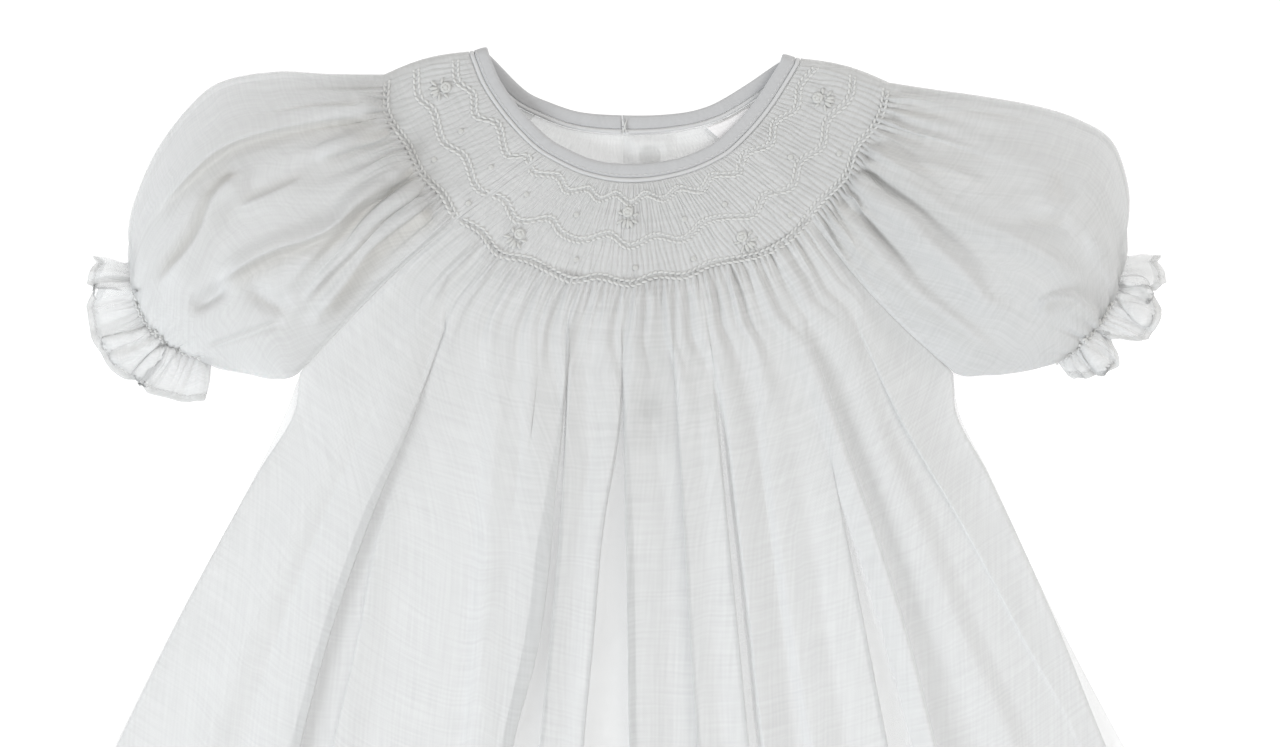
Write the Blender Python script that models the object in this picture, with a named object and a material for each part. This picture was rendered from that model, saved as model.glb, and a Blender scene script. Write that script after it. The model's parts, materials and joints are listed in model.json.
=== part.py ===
# Baby dress of sheer white cotton with a smocked round yoke and short puffed sleeves.
# It lies flat on its back with its front up: +X is to the right, +Y runs up to the neck,
# +Z is up. The origin is under the middle of the dress, on the surface it lies on.
# Sizes and places below are in millimetres.

import math
from collections import namedtuple

import bmesh
import bpy
from mathutils import Vector

MM = 0.001

# Cloth and seams
CLOTH = 1.0  # thickness of every cloth wall
SEAM = 0.3  # gap that stays between two pieces at a seam
SLANT = 1.4  # a raglan seam slants, so a gap across the dress is this much wider
FOLD_RADIUS = 3.0  # outer radius where the cloth turns over at shoulder, sleeve and cuff
YOKE_TOP = 2 * FOLD_RADIUS  # height of the front's outer side at the yoke
UNDERARM_TOP = 3.0  # height of the front's outer side where side seam and sleeve meet
SIDE_TOP = 2.6  # height of the front's outer side along the side seams
SKIRT_TOP = 4.6  # height of the lower skirt between its folds
UP = Vector((0, 0, 1))

# Smocking and gathers
FRONT_PLEATS = 56
SLEEVE_PLEATS = 20
PLEAT_RISE = 1.5  # how far a smocked pleat stands out of the wall
PLEAT_PINCH = 0.45  # share of that rise that the cable rows press down
CABLE_ROWS = (0.20, 0.56, 0.94)  # depth of the three cable rows, neck 0 to yoke edge 1
RELEASE_RISE = 0.6  # share of the rise that is left just below the yoke
GATHER_RISE = 1.3  # gathers that run out of the yoke into the skirt
GATHER_REACH = 0.22  # share of the skirt's length where they have died away

# Back opening
SLIT_X = -2.0
SLIT_END_Y = 64.0
SLIT_FLARE = 0.06  # half the slit's gap grows by this for each millimetre below its end
LAP_COLUMNS = (0.15, 5.0, 10.0, 15.0, 20.0)  # grid lines of the lap, from the slit
LAP_RAISE = 1.9  # the lap lies this high over the buttons under it
LAP_CLOTH = 0.8
BUTTON_DIAMETER = 8.0
BUTTON_THICKNESS = 1.6
BUTTON_X = SLIT_X + 10.0
BUTTON_Y = (170.5, 124.0, 78.0)

# Neck edge
BINDING_WIDTH = 5.0
BINDING_THICKNESS = 1.6
PIPING_DIAMETER = 1.3
NECK_OPENING = 0.5  # each end of the binding stops this far from the middle of the back
LABEL_DEPTH = 13.0
LABEL_REACH = 0.055  # half its width, as a share of the yoke's edge over the back

# The neck and the lower edge of the yoke, one row for each line of pleats
Spoke = namedtuple("Spoke", "place neck_x neck_y yoke_x yoke_y")

FRONT_SPOKES = (
    Spoke("left shoulder fold", -57.2, 205.5, -87.9, 197.1),
    Spoke("left sleeve top", -53.0, 195.5, -86.0, 183.5),
    Spoke("left sleeve front", -45.5, 184.5, -77.5, 168.5),
    Spoke("left sleeve seam side", -37.0, 175.2, -68.8, 156.0),
    Spoke("left raglan seam", -30.8, 170.3, -61.0, 147.8),
    Spoke("left front", -16.4, 163.3, -41.6, 132.9),
    Spoke("centre front", 1.2, 160.4, 0.0, 124.8),
    Spoke("right front", 20.4, 163.3, 42.7, 133.6),
    Spoke("right raglan seam", 35.6, 170.0, 66.0, 147.5),
    Spoke("right sleeve seam side", 44.8, 178.2, 76.7, 159.5),
    Spoke("right sleeve front", 52.8, 188.0, 85.0, 174.5),
    Spoke("right sleeve top", 58.6, 197.0, 91.6, 186.0),
    Spoke("right shoulder fold", 62.2, 203.0, 94.1, 194.3),
)
LEFT_RAGLAN, RIGHT_RAGLAN = 4, 8

BACK_SPOKES = (
    Spoke("left shoulder fold", -57.2, 205.5, -87.9, 197.1),
    Spoke("left sleeve back", -43.5, 190.9, -80.0, 168.0),
    Spoke("left back seam", -34.0, 185.3, -66.0, 152.0),
    Spoke("left back", -20.0, 180.2, -38.0, 143.5),
    Spoke("centre back", -1.8, 178.4, 0.0, 140.5),
    Spoke("right back", 18.0, 179.6, 38.0, 143.5),
    Spoke("right back seam", 34.5, 184.0, 70.0, 152.0),
    Spoke("right sleeve back", 48.3, 192.2, 84.0, 168.0),
    Spoke("right shoulder fold", 62.2, 203.0, 94.1, 194.3),
)
LEFT_BACK_SEAM, RIGHT_BACK_SEAM = 2, 6

# Seams down the sides, from the yoke to the underarm and from there to the hem
LEFT_FRONT_RAGLAN = ((-61.0, 147.8), (-83.2, 128.8), (-105.1, 107.0), (-119.5, 91.6))
RIGHT_FRONT_RAGLAN = ((66.0, 147.5), (82.0, 127.0), (98.9, 109.1), (118.5, 91.6))
LEFT_BACK_RAGLAN = ((-66.0, 152.0), (-86.0, 130.5), (-106.8, 108.0), (-119.5, 91.6))
RIGHT_BACK_RAGLAN = ((70.0, 152.0), (84.5, 130.0), (101.0, 109.5), (118.5, 91.6))
LEFT_FRONT_SIDE = (
    (-119.5, 91.6), (-121.8, 76.0), (-134.7, 55.1), (-163.2, 2.6), (-186.5, -44.9), (-251.0, -181.0),
)
RIGHT_FRONT_SIDE = (
    (118.5, 91.6), (119.8, 76.0), (131.0, 55.1), (155.1, 2.6), (174.5, -45.3), (236.0, -184.0),
)
LEFT_BACK_SIDE = (
    (-119.5, 91.6), (-124.4, 78.0), (-135.4, 55.1), (-163.8, 2.6), (-187.4, -44.9), (-253.5, -180.0),
)
RIGHT_BACK_SIDE = (
    (118.5, 91.6), (121.0, 76.0), (131.6, 55.1), (156.0, 2.6), (181.0, -44.9), (255.5, -180.0),
)
UNDERARM_SHARE = 0.2  # share of the rows from yoke to hem that end at the underarm
RAGLAN_STEPS = (0.1, 0.28, 0.5, 0.75, 1.0)  # rows that meet along a raglan seam
HEM_SAG_FRONT = 31.0  # the hem's middle lies this much lower than its ends
HEM_SAG_BACK = 29.0

# Long folds of the skirt: where the crest runs, and its form
Fold = namedtuple("Fold", "place x_107 x_73 x_36 x_m4 x_m45 x_hem left_width right_width height")
FOLD_LEVELS = (107.0, 73.0, 36.0, -4.0, -45.0, -207.0)

FOLDS = (
    Fold("left side, soft", -85.0, -101.0, -120.0, -138.0, -154.0, -207.0, 16.0, 16.0, 3.0),
    Fold("left, sharp outer edge", -66.0, -78.0, -91.0, -105.0, -116.0, -156.0, 7.0, 15.0, 5.5),
    Fold("left middle", -45.0, -47.0, -50.0, -52.0, -55.0, -69.0, 12.0, 12.0, 4.0),
    Fold("left of the first trough", -28.0, -30.0, -33.0, -38.0, -45.5, -65.0, 10.0, 6.0, 4.5),
    Fold("between the two troughs", -14.0, -14.6, -16.5, -19.0, -24.0, -36.0, 6.5, 7.0, 4.5),
    Fold("right of the second trough", 4.5, 6.2, 8.0, 9.8, 11.5, 22.0, 6.0, 9.0, 4.0),
    Fold("narrow crest", 18.0, 18.6, 20.4, 23.4, 26.0, 41.0, 5.0, 8.0, 3.5),
    Fold("right of centre", 30.5, 36.0, 40.0, 45.0, 50.0, 74.0, 6.0, 12.0, 4.5),
    Fold("right, soft", 46.7, 50.0, 55.0, 61.0, 68.0, 99.0, 11.0, 11.0, 3.0),
    Fold("right, the strongest", 60.0, 71.0, 83.5, 96.0, 107.0, 150.0, 14.0, 7.0, 7.0),
    Fold("right, second soft", 78.0, 89.0, 105.0, 121.0, 139.0, 183.0, 13.0, 13.0, 3.5),
    Fold("right side, thin edge", 86.0, 103.0, 124.0, 145.0, 166.0, 214.0, 7.0, 12.0, 3.5),
)

# The sleeves, one row for each section from the yoke to the hem of the cuff's ruffle.
# The section runs from its front edge, or the seam under the arm, to the fold on top.
Section = namedtuple("Section", "share seam_x seam_y fold_x fold_y puff bow ruffle")

LEFT_SLEEVE = (
    Section(0.00, -61.0, 147.8, -88.7, 200.0, 0.0, 0.0, 0.0),
    Section(0.14, -83.2, 128.8, -109.5, 200.3, 8.0, 0.0, 0.0),
    Section(0.27, -101.0, 111.2, -128.1, 201.1, 14.0, 0.0, 0.0),
    Section(0.40, -119.5, 91.6, -147.8, 197.5, 19.0, 0.0, 0.0),
    Section(0.50, -128.8, 89.1, -159.1, 189.1, 21.0, 1.0, 0.0),
    Section(0.60, -138.0, 90.9, -171.6, 172.6, 20.0, 3.0, 0.0),
    Section(0.69, -146.0, 93.4, -179.6, 154.4, 16.0, 5.5, 0.0),
    Section(0.76, -150.0, 95.3, -182.1, 142.7, 11.0, 7.5, 0.0),
    Section(0.82, -151.5, 96.0, -181.4, 132.1, 5.5, 8.5, 0.0),
    Section(0.91, -152.5, 87.5, -190.5, 133.5, 5.0, 13.5, 0.6),
    Section(1.00, -154.4, 79.9, -197.1, 134.3, 5.5, 17.5, 1.0),
)
RIGHT_SLEEVE = (
    Section(0.00, 66.0, 147.5, 94.9, 197.1, 0.0, 0.0, 0.0),
    Section(0.14, 82.0, 127.0, 112.0, 194.5, 8.0, 0.0, 0.0),
    Section(0.27, 98.9, 109.1, 130.0, 192.0, 14.0, 0.0, 0.0),
    Section(0.40, 118.5, 91.6, 150.0, 188.3, 19.0, 0.0, 0.0),
    Section(0.50, 130.3, 90.4, 164.5, 183.5, 21.0, 0.5, 0.0),
    Section(0.60, 141.0, 91.3, 176.5, 175.5, 20.0, 1.5, 0.0),
    Section(0.69, 149.5, 93.0, 182.2, 159.5, 16.0, 3.0, 0.0),
    Section(0.76, 154.0, 94.8, 182.3, 146.5, 11.0, 4.5, 0.0),
    Section(0.82, 156.0, 95.5, 179.8, 135.1, 5.5, 5.0, 0.0),
    Section(0.91, 159.5, 91.5, 189.0, 134.6, 5.0, 8.5, 0.6),
    Section(1.00, 162.0, 88.5, 196.4, 134.0, 5.5, 12.0, 1.0),
)
UNDERARM_SECTION = 0.40
RUFFLE_WAVES = 5
RUFFLE_RISE = 2.2
RUFFLE_SCALLOP = 1.4
GATHER_RISE_SLEEVE = 1.5  # gathers that run out of the yoke, and into the cuff

# Creases of the puffs. Each runs from its start to its end, bent up or down in between.
# A rise above 0 is a ridge, below 0 a trough.
Crease = namedtuple("Crease", "place start_x start_y end_x end_y bend width rise")

CREASES = (
    Crease("left, along the top", -96.0, 190.5, -143.8, 182.1, 1.5, 4.5, -1.8),
    Crease("left, long arch", -89.4, 184.7, -166.1, 152.9, 10.0, 5.0, -2.4),
    Crease("left, middle dent", -112.0, 164.0, -145.0, 145.0, 0.0, 5.5, -2.2),
    Crease("left, above the cuff", -146.0, 160.0, -162.5, 127.5, 0.0, 5.0, -2.2),
    Crease("left, main ridge", -79.2, 169.0, -144.0, 126.0, -2.5, 5.0, 2.6),
    Crease("left, under the ridge", -75.6, 163.2, -126.0, 118.5, 0.0, 4.0, -2.0),
    Crease("left, by the seam", -79.2, 141.0, -118.0, 98.0, -3.0, 5.0, -1.6),
    Crease("right, along the top", 95.6, 189.1, 146.0, 183.4, 0.0, 4.5, -1.8),
    Crease("right, upper", 101.0, 177.8, 134.0, 165.8, 1.0, 4.5, -2.2),
    Crease("right, main ridge", 87.2, 169.0, 160.0, 128.0, -4.0, 5.0, 2.6),
    Crease("right, second ridge", 87.0, 155.5, 142.0, 111.2, 0.0, 4.5, 2.2),
    Crease("right, between ridges", 105.0, 151.0, 142.0, 116.0, 2.0, 4.5, -2.2),
    Crease("right, lower ridge", 81.0, 150.7, 138.0, 96.5, -6.0, 4.0, 1.8),
    Crease("right, dent of the puff", 137.0, 161.5, 165.0, 144.5, 0.0, 7.0, -2.6),
)

# How finely each wall is divided
FRONT_SMOCK_ROWS = 6
FRONT_SKIRT_ROWS = 11
BACK_SMOCK_DEPTHS = (0.0, 0.08, 0.5, 1.0)
BACK_SKIRT_ROWS = 9
BACK_LEFT_COLUMNS = 9
BACK_RIGHT_COLUMNS = 8
SLEEVE_SMOCK_ROWS = 5
SLEEVE_ROWS_TO_CUFF = 7
SLEEVE_ROWS_OF_RUFFLE = 3
SEAM_COLUMNS = 2
FOLD_COLUMNS = 4
UNDER_COLUMNS = 8
NECK_FRONT_STEPS = 30
NECK_BACK_STEPS = 11
NECK_TURN_STEPS = 5

# Colours
COTTON = (0.86, 0.87, 0.88)
THREAD = (0.90, 0.90, 0.91)
LABEL_CLOTH = (0.93, 0.93, 0.92)
BUTTON = (0.92, 0.92, 0.90)


# Curves and small helpers

def mix(a, b, share):
    return a + (b - a) * share


def ease(share):
    share = min(1.0, max(0.0, share))
    return share * share * (3 - 2 * share)


def along_knots(knots, values, at):
    """Smooth value at a place between knots, for numbers or vectors."""
    last = len(knots) - 1
    i = 0
    while i < last - 1 and at > knots[i + 1]:
        i += 1
    before, after = max(i - 1, 0), min(i + 2, last)
    span = knots[i + 1] - knots[i]
    u = (at - knots[i]) / span
    slope_a = (values[i + 1] - values[before]) * (span / (knots[i + 1] - knots[before]))
    slope_b = (values[after] - values[i]) * (span / (knots[after] - knots[i]))
    return (
        values[i] * (2 * u ** 3 - 3 * u ** 2 + 1)
        + slope_a * (u ** 3 - 2 * u ** 2 + u)
        + values[i + 1] * (3 * u ** 2 - 2 * u ** 3)
        + slope_b * (u ** 3 - u ** 2)
    )


def chord_knots(points):
    knots = [0.0]
    for a, b in zip(points, points[1:]):
        knots.append(knots[-1] + (b - a).length)
    return [k / knots[-1] for k in knots]


class Path:
    """A smooth line through a few points, read by its share of the length."""

    def __init__(self, points):
        self.points = [Vector(p) for p in points]
        self.knots = chord_knots(self.points)

    def at(self, share):
        return along_knots(self.knots, self.points, share)


class Yoke:
    """Neck and yoke edges with the pleat lines between them."""

    def __init__(self, spokes):
        self.necks = [Vector((s.neck_x, s.neck_y)) for s in spokes]
        self.edges = [Vector((s.yoke_x, s.yoke_y)) for s in spokes]
        self.knots = chord_knots(self.edges)

    def at(self, place, depth):
        neck = along_knots(self.knots, self.necks, place)
        return mix(neck, along_knots(self.knots, self.edges, place), depth)

    def to_neck(self, place):
        return (self.at(place, 0) - self.at(place, 1)).normalized()


FRONT_YOKE = Yoke(FRONT_SPOKES)
BACK_YOKE = Yoke(BACK_SPOKES)


class Seam:
    """Left or right edge of the front or back below the yoke."""

    def __init__(self, raglan, side):
        self.raglan, self.side = Path(raglan), Path(side)

    def at(self, share):
        if share < UNDERARM_SHARE:
            return self.raglan.at(share / UNDERARM_SHARE)
        return self.side.at((share - UNDERARM_SHARE) / (1 - UNDERARM_SHARE))


class Panel:
    """Plan of the front or the back: rows run across it, shares run from yoke to hem."""

    def __init__(self, yoke, first, last, left, right, sag):
        self.yoke, self.left, self.right, self.sag = yoke, left, right, sag
        self.start, self.stop = yoke.knots[first], yoke.knots[last]
        self.corners = left.at(1.0), right.at(1.0)

    def hem(self, across):
        point = mix(*self.corners, across)
        return point - Vector((0, self.sag * 4 * across * (1 - across)))

    def smocked(self, depth, across):
        return self.yoke.at(mix(self.start, self.stop, across), depth)

    def skirt(self, share, across):
        edge = self.smocked(1.0, across)
        ends = [mix(self.smocked(1.0, c), self.hem(c), share) for c in (0, 1)]
        return (
            mix(edge, self.hem(across), share)
            + (self.left.at(share) - ends[0]) * (1 - across) ** 2
            + (self.right.at(share) - ends[1]) * across ** 2
        )

    def at(self, row, across):
        """Rows from -1 to 0 are the smocking, from 0 to 1 the skirt."""
        return self.smocked(row + 1, across) if row < 0 else self.skirt(row, across)


FRONT = Panel(
    FRONT_YOKE, LEFT_RAGLAN, RIGHT_RAGLAN,
    Seam(LEFT_FRONT_RAGLAN, LEFT_FRONT_SIDE),
    Seam(RIGHT_FRONT_RAGLAN, RIGHT_FRONT_SIDE), HEM_SAG_FRONT,
)
BACK = Panel(
    BACK_YOKE, LEFT_BACK_SEAM, RIGHT_BACK_SEAM,
    Seam(LEFT_BACK_RAGLAN, LEFT_BACK_SIDE),
    Seam(RIGHT_BACK_RAGLAN, RIGHT_BACK_SIDE), HEM_SAG_BACK,
)


# Solids

def add_object(name, points, faces, colour, roughness):
    mesh = bpy.data.meshes.new(name)
    mesh.from_pydata([Vector(p) * MM for p in points], [], faces)
    shell = bmesh.new()
    shell.from_mesh(mesh)
    bmesh.ops.recalc_face_normals(shell, faces=shell.faces)
    shell.to_mesh(mesh)
    shell.free()
    material = bpy.data.materials.new(name)
    material.use_nodes = True
    shader = material.node_tree.nodes["Principled BSDF"]
    shader.inputs["Base Color"].default_value = (*colour, 1)
    shader.inputs["Roughness"].default_value = roughness
    shader.inputs["Metallic"].default_value = 0.0
    mesh.materials.append(material)
    mesh.shade_smooth()
    mesh.set_sharp_from_angle(angle=math.radians(50))
    thing = bpy.data.objects.new(name, mesh)
    bpy.context.collection.objects.link(thing)
    return thing


def add_wall(name, rows, colour, roughness, left_out=()):
    """A closed wall from rows of (outer, inner) points.

    Neighbouring rows have as many points as each other, or one has twice the spaces.
    left_out holds the (row, column) spaces that stay open.
    """
    starts = []
    total = 0
    for row in rows:
        starts.append(total)
        total += len(row)
    faces = []
    for r, (row, following) in enumerate(zip(rows, rows[1:])):
        a, b = starts[r], starts[r + 1]
        if len(row) == len(following):
            for c in range(len(row) - 1):
                if (r, c) not in left_out:
                    faces.append((a + c, a + c + 1, b + c + 1, b + c))
        else:
            for c in range(len(following) - 1):
                faces.append((a + 2 * c, a + 2 * c + 1, b + c))
                faces.append((a + 2 * c + 1, b + c + 1, b + c))
                faces.append((a + 2 * c + 1, a + 2 * c + 2, b + c + 1))
    edges = {(f[i - 1], f[i]) for f in faces for i in range(len(f))}
    rim = [(p, q) for p, q in edges if (q, p) not in edges]
    inner = [tuple(i + total for i in reversed(f)) for f in faces]
    sides = [(q, p, p + total, q + total) for p, q in sorted(rim)]
    points = [pair[0] for row in rows for pair in row] + [pair[1] for row in rows for pair in row]
    return add_object(name, points, faces + inner + sides, colour, roughness)


def pleat(column, depth):
    """How far the wall's outer side stands out at a fine column of the smocking."""
    if column % 2 == 0:
        return 0.0
    pressed = max(math.exp(-((depth - row) / 0.07) ** 2) for row in CABLE_ROWS)
    return PLEAT_RISE * (1 - PLEAT_PINCH * pressed)


def spread(count):
    return [i / count for i in range(count + 1)]


def normal_of(surface, row, across, step=0.004):
    """Outward direction of a surface whose rows run down and whose columns run across."""
    down = surface(min(row + step, 1), across) - surface(max(row - step, -1), across)
    side = surface(row, min(across + step, 1)) - surface(row, max(across - step, 0))
    return side.cross(-down).normalized()


# Heights of the sleeves' creases, the seams and the skirt's folds

def crease_height(x, y):
    height = 0.0
    for crease in CREASES:
        long, drop = crease.end_x - crease.start_x, crease.end_y - crease.start_y
        share = (x - crease.start_x) / long
        if not 0 < share < 1:
            continue
        line = crease.start_y + drop * share + crease.bend * 4 * share * (1 - share)
        away = (y - line) * abs(long) / math.hypot(long, drop)
        taper = ease(share / 0.3) * ease((1 - share) / 0.3)
        height += crease.rise * taper * math.exp(-((away / crease.width) ** 2))
    return height


def seam_height(share):
    """Height of the outer side along a raglan seam."""
    return mix(YOKE_TOP, UNDERARM_TOP, ease(share))


def fold_height(x, y):
    height = 0.0
    levels = [-level for level in FOLD_LEVELS]
    for fold in FOLDS:
        crest = along_knots(levels, fold[1:7], max(levels[0], min(levels[-1], -y)))
        widen = 0.72 + 0.28 * ease((100 - y) / 200)
        width = widen * (fold.left_width if x < crest else fold.right_width)
        height = max(height, fold.height * ease(1 - abs(x - crest) / width))
    return height


def front_height(share, across):
    if share <= 0:
        return YOKE_TOP
    inward = ease(min(across, 1 - across) / 0.09)
    edge = seam_height(share / UNDERARM_SHARE)
    if share > UNDERARM_SHARE:
        edge = mix(UNDERARM_TOP, SIDE_TOP, ease((share - UNDERARM_SHARE) / 0.1))
    middle = mix(YOKE_TOP, SKIRT_TOP, ease((share - 0.22) / 0.25))
    point = FRONT.at(share, across)
    grown = ease((share - 0.02) / 0.36)
    return mix(edge, middle, inward) + fold_height(point.x, point.y) * inward * grown


def front_surface(row, across):
    return FRONT.at(row, across).to_3d() + UP * front_height(row, across)


def gather(column, share):
    """Gathers just below the yoke, which die away down the skirt."""
    fade = 1 - ease(share / GATHER_REACH)
    return GATHER_RISE * fade * (column % 2)


def front_row(row, spaces, rise):
    points = []
    for column, across in enumerate(spread(spaces)):
        outer = front_surface(row, across)
        edge = min(column, spaces - column) / spaces
        normal = mix(UP, normal_of(front_surface, row, across), ease(edge / 0.05)).normalized()
        points.append((outer + normal * rise(column), outer - normal * CLOTH))
    return points


def front_rows():
    rows = []
    for depth in spread(FRONT_SMOCK_ROWS):
        rise = lambda column, depth=depth: pleat(column, depth)
        rows.append(front_row(depth - 1, 2 * FRONT_PLEATS, rise))
    release = UNDERARM_SHARE * RAGLAN_STEPS[0]
    rows.append(front_row(release, 2 * FRONT_PLEATS, lambda column: RELEASE_RISE * pleat(column, 0)))
    raglan = [UNDERARM_SHARE * step for step in RAGLAN_STEPS[1:]]
    side = [mix(UNDERARM_SHARE, 1, share) for share in spread(FRONT_SKIRT_ROWS)[1:]]
    for share in raglan + side:
        rise = lambda column, share=share: gather(column, share)
        rows.append(front_row(share, FRONT_PLEATS, rise))
    return rows


# Back panel, with the slit of its opening and the lap on it

def lap_raise(column_x, y):
    """How high the back lies over the buttons, at a grid line of the lap."""
    on_lap = column_x in LAP_COLUMNS[1:-1]
    fade = ease((BACK_YOKE.at(0.5, 0).y - y) / 2.5) * ease((y - SLIT_END_Y) / 10)
    return LAP_RAISE * fade if on_lap else 0.0


def across_at(row, x):
    """Where a row of the back crosses a line that runs straight down the dress."""
    low, high = 0.0, 1.0
    for _ in range(40):
        middle = (low + high) / 2
        if BACK.at(row, middle).x < x:
            low = middle
        else:
            high = middle
    return low


def back_grid():
    """Rows of (plan point, raise), with the slit between two close grid lines."""
    raglan = [UNDERARM_SHARE * step for step in RAGLAN_STEPS]
    side = [mix(UNDERARM_SHARE, 1, share) for share in spread(BACK_SKIRT_ROWS)[1:]]
    shares = [depth - 1 for depth in BACK_SMOCK_DEPTHS] + raglan + side
    grid = []
    for share in shares:
        at_slit = BACK.at(share, across_at(share, SLIT_X))
        open_by = SEAM / 2 + SLIT_FLARE * max(0.0, SLIT_END_Y - at_slit.y)
        lap = [open_by + line - LAP_COLUMNS[0] for line in LAP_COLUMNS]
        crossing = [across_at(share, SLIT_X - open_by)] + [across_at(share, SLIT_X + x) for x in lap]
        places = [crossing[0] * i / BACK_LEFT_COLUMNS for i in range(BACK_LEFT_COLUMNS)]
        places += crossing
        places += [mix(crossing[-1], 1, i / BACK_RIGHT_COLUMNS) for i in range(1, BACK_RIGHT_COLUMNS + 1)]
        row = []
        for column, across in enumerate(places):
            point = BACK.at(share, across)
            line = column - BACK_LEFT_COLUMNS - 1
            on_line = LAP_COLUMNS[line] if 0 <= line < len(LAP_COLUMNS) else None
            row.append((point, lap_raise(on_line, point.y)))
        grid.append(row)
    return grid


def back_rows(grid):
    return [[(p.to_3d() + UP * z, p.to_3d() + UP * (z + CLOTH)) for p, z in row] for row in grid]


def slit_rows(grid):
    """How many rows of spaces lie along the slit."""
    return sum(row[BACK_LEFT_COLUMNS][0].y > SLIT_END_Y for row in grid[1:])


def lap_rows(grid):
    """The lap over the slit, from the back's own points, moved up."""
    first = BACK_LEFT_COLUMNS + 1
    low = CLOTH + SEAM
    rows = []
    for row in grid[: slit_rows(grid) + 1]:
        points = [p.to_3d() + UP * (z + low) for p, z in row[first:first + len(LAP_COLUMNS)]]
        rows.append([(p + UP * LAP_CLOTH, p) for p in points])
    return rows


def label_rows():
    """A plain label under the back neck, by the right back seam, moved up from the cloth."""
    low = CLOTH + SEAM
    seam = BACK_YOKE.knots[RIGHT_BACK_SEAM]
    rows = []
    for drop in (1.0, 1.0 + LABEL_DEPTH):
        row = []
        for place in (seam - LABEL_REACH, seam, seam + LABEL_REACH):
            neck = BACK_YOKE.at(place, 0)
            down = -BACK_YOKE.to_neck(seam)
            point = (neck + down * drop).to_3d()
            row.append((point + UP * (low + CLOTH), point + UP * low))
        rows.append(row)
    return rows


# Sleeves

class Sleeve:
    """One sleeve: its sections run over the top fold from its front edge to its back edge."""

    def __init__(self, sections, raglan_place, back_place, front_raglan, back_raglan):
        self.side = math.copysign(1, sections[0].fold_x)
        self.gap = Vector((self.side * SEAM * SLANT, 0))
        self.shares = [s.share for s in sections]
        self.seams = [Vector((s.seam_x, s.seam_y)) + self.gap for s in sections]
        self.folds = [Vector((s.fold_x, s.fold_y)) for s in sections]
        self.form = [Vector((s.puff, s.bow, s.ruffle)) for s in sections]
        self.shoulder = 0.0 if self.side < 0 else 1.0
        self.raglan_place, self.back_place = raglan_place, back_place
        self.raglan = {False: front_raglan, True: back_raglan}
        shoulder = [FRONT_YOKE.at(self.shoulder, d) for d in (0, 1)]
        along = (shoulder[1] - shoulder[0]).normalized()
        self.shoulder_out = Vector((along.y * -self.side, along.x * self.side))

    def smocked_lines(self, depth, side_share, back):
        yoke = BACK_YOKE if back else FRONT_YOKE
        seam = self.back_place if back else self.raglan_place
        return yoke.at(mix(seam, self.shoulder, side_share), depth) + self.gap * (1 - side_share)

    def seam(self, row, back):
        """The sleeve's edge along a raglan seam, and then along the seam under the arm."""
        if row < UNDERARM_SECTION:
            return self.raglan[back].at(row / UNDERARM_SECTION) + self.gap
        return along_knots(self.shares, self.seams, row)

    def plan(self, row, side_share, back):
        """Plan point of the upper or lower side, from its seam at 0 to the fold at 1."""
        if row < 0:
            return self.smocked_lines(row + 1, side_share, back)
        seam = self.seam(row, back)
        fold = along_knots(self.shares, self.folds, row) - self.out(row) * FOLD_RADIUS
        bow = along_knots(self.shares, self.form, row).y
        chord = (fold - seam).normalized()
        outward = Vector((chord.y, -chord.x)) * self.side
        straight = mix(seam, fold, side_share) + outward * bow * 4 * side_share * (1 - side_share)
        yoke_line = self.smocked_lines(1.0, side_share, back)
        ends = [self.smocked_lines(1.0, end, back) for end in (0, 1)]
        curve = yoke_line - mix(ends[0], ends[1], side_share)
        return straight + curve * (1 - ease(row / UNDERARM_SECTION))

    def out(self, row):
        """Direction in which the top fold faces."""
        if row <= 0:
            return self.shoulder_out
        chord = along_knots(self.shares, self.folds, row) - along_knots(self.shares, self.seams, row)
        return mix(self.shoulder_out, chord.normalized(), ease(row / 0.15)).normalized()

    def tube(self, row):
        """0 where the sleeve is open to the body, 1 where it is a closed tube."""
        return ease((row - UNDERARM_SECTION + 0.03) / 0.05)

    def puff(self, row, side_share):
        if row < 0:
            return YOKE_TOP
        puff, _, ruffle = along_knots(self.shares, self.form, row)
        crown = (4 * side_share * (1 - side_share)) ** 0.75
        seam = mix(seam_height(row / UNDERARM_SECTION), YOKE_TOP, self.tube(row))
        base = mix(seam, YOKE_TOP, ease(side_share / 0.3))
        wave = RUFFLE_RISE * ruffle * math.sin(2 * math.pi * RUFFLE_WAVES * side_share)
        return base + puff * crown + wave * ease(6 * side_share) * ease(6 * (1 - side_share))

    def ruffle_edge(self, row, side_share):
        """The ruffle's hem reaches further out on the waves' crests."""
        ruffle = along_knots(self.shares, self.form, max(row, 0)).z
        chord = self.plan(1, 1, False) - self.plan(1, 0, False)
        outward = Vector((chord.y, -chord.x)).normalized() * self.side
        wave = math.sin(2 * math.pi * RUFFLE_WAVES * side_share)
        return outward * RUFFLE_SCALLOP * ruffle * wave * ease(6 * side_share) * ease(6 * (1 - side_share))

    def upper(self, row, side_share):
        point = self.plan(row, side_share, False) + self.ruffle_edge(row, side_share)
        inside = ease(row / 0.08) * ease(6 * side_share) * ease(5 * (1 - side_share))
        crease = crease_height(point.x, point.y) * inside
        return point.to_3d() + UP * (self.puff(row, side_share) + crease)

    def seam_inward(self, row):
        step = self.plan(row, 0.02, False) - self.plan(row, 0, False)
        return step.normalized()


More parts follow.
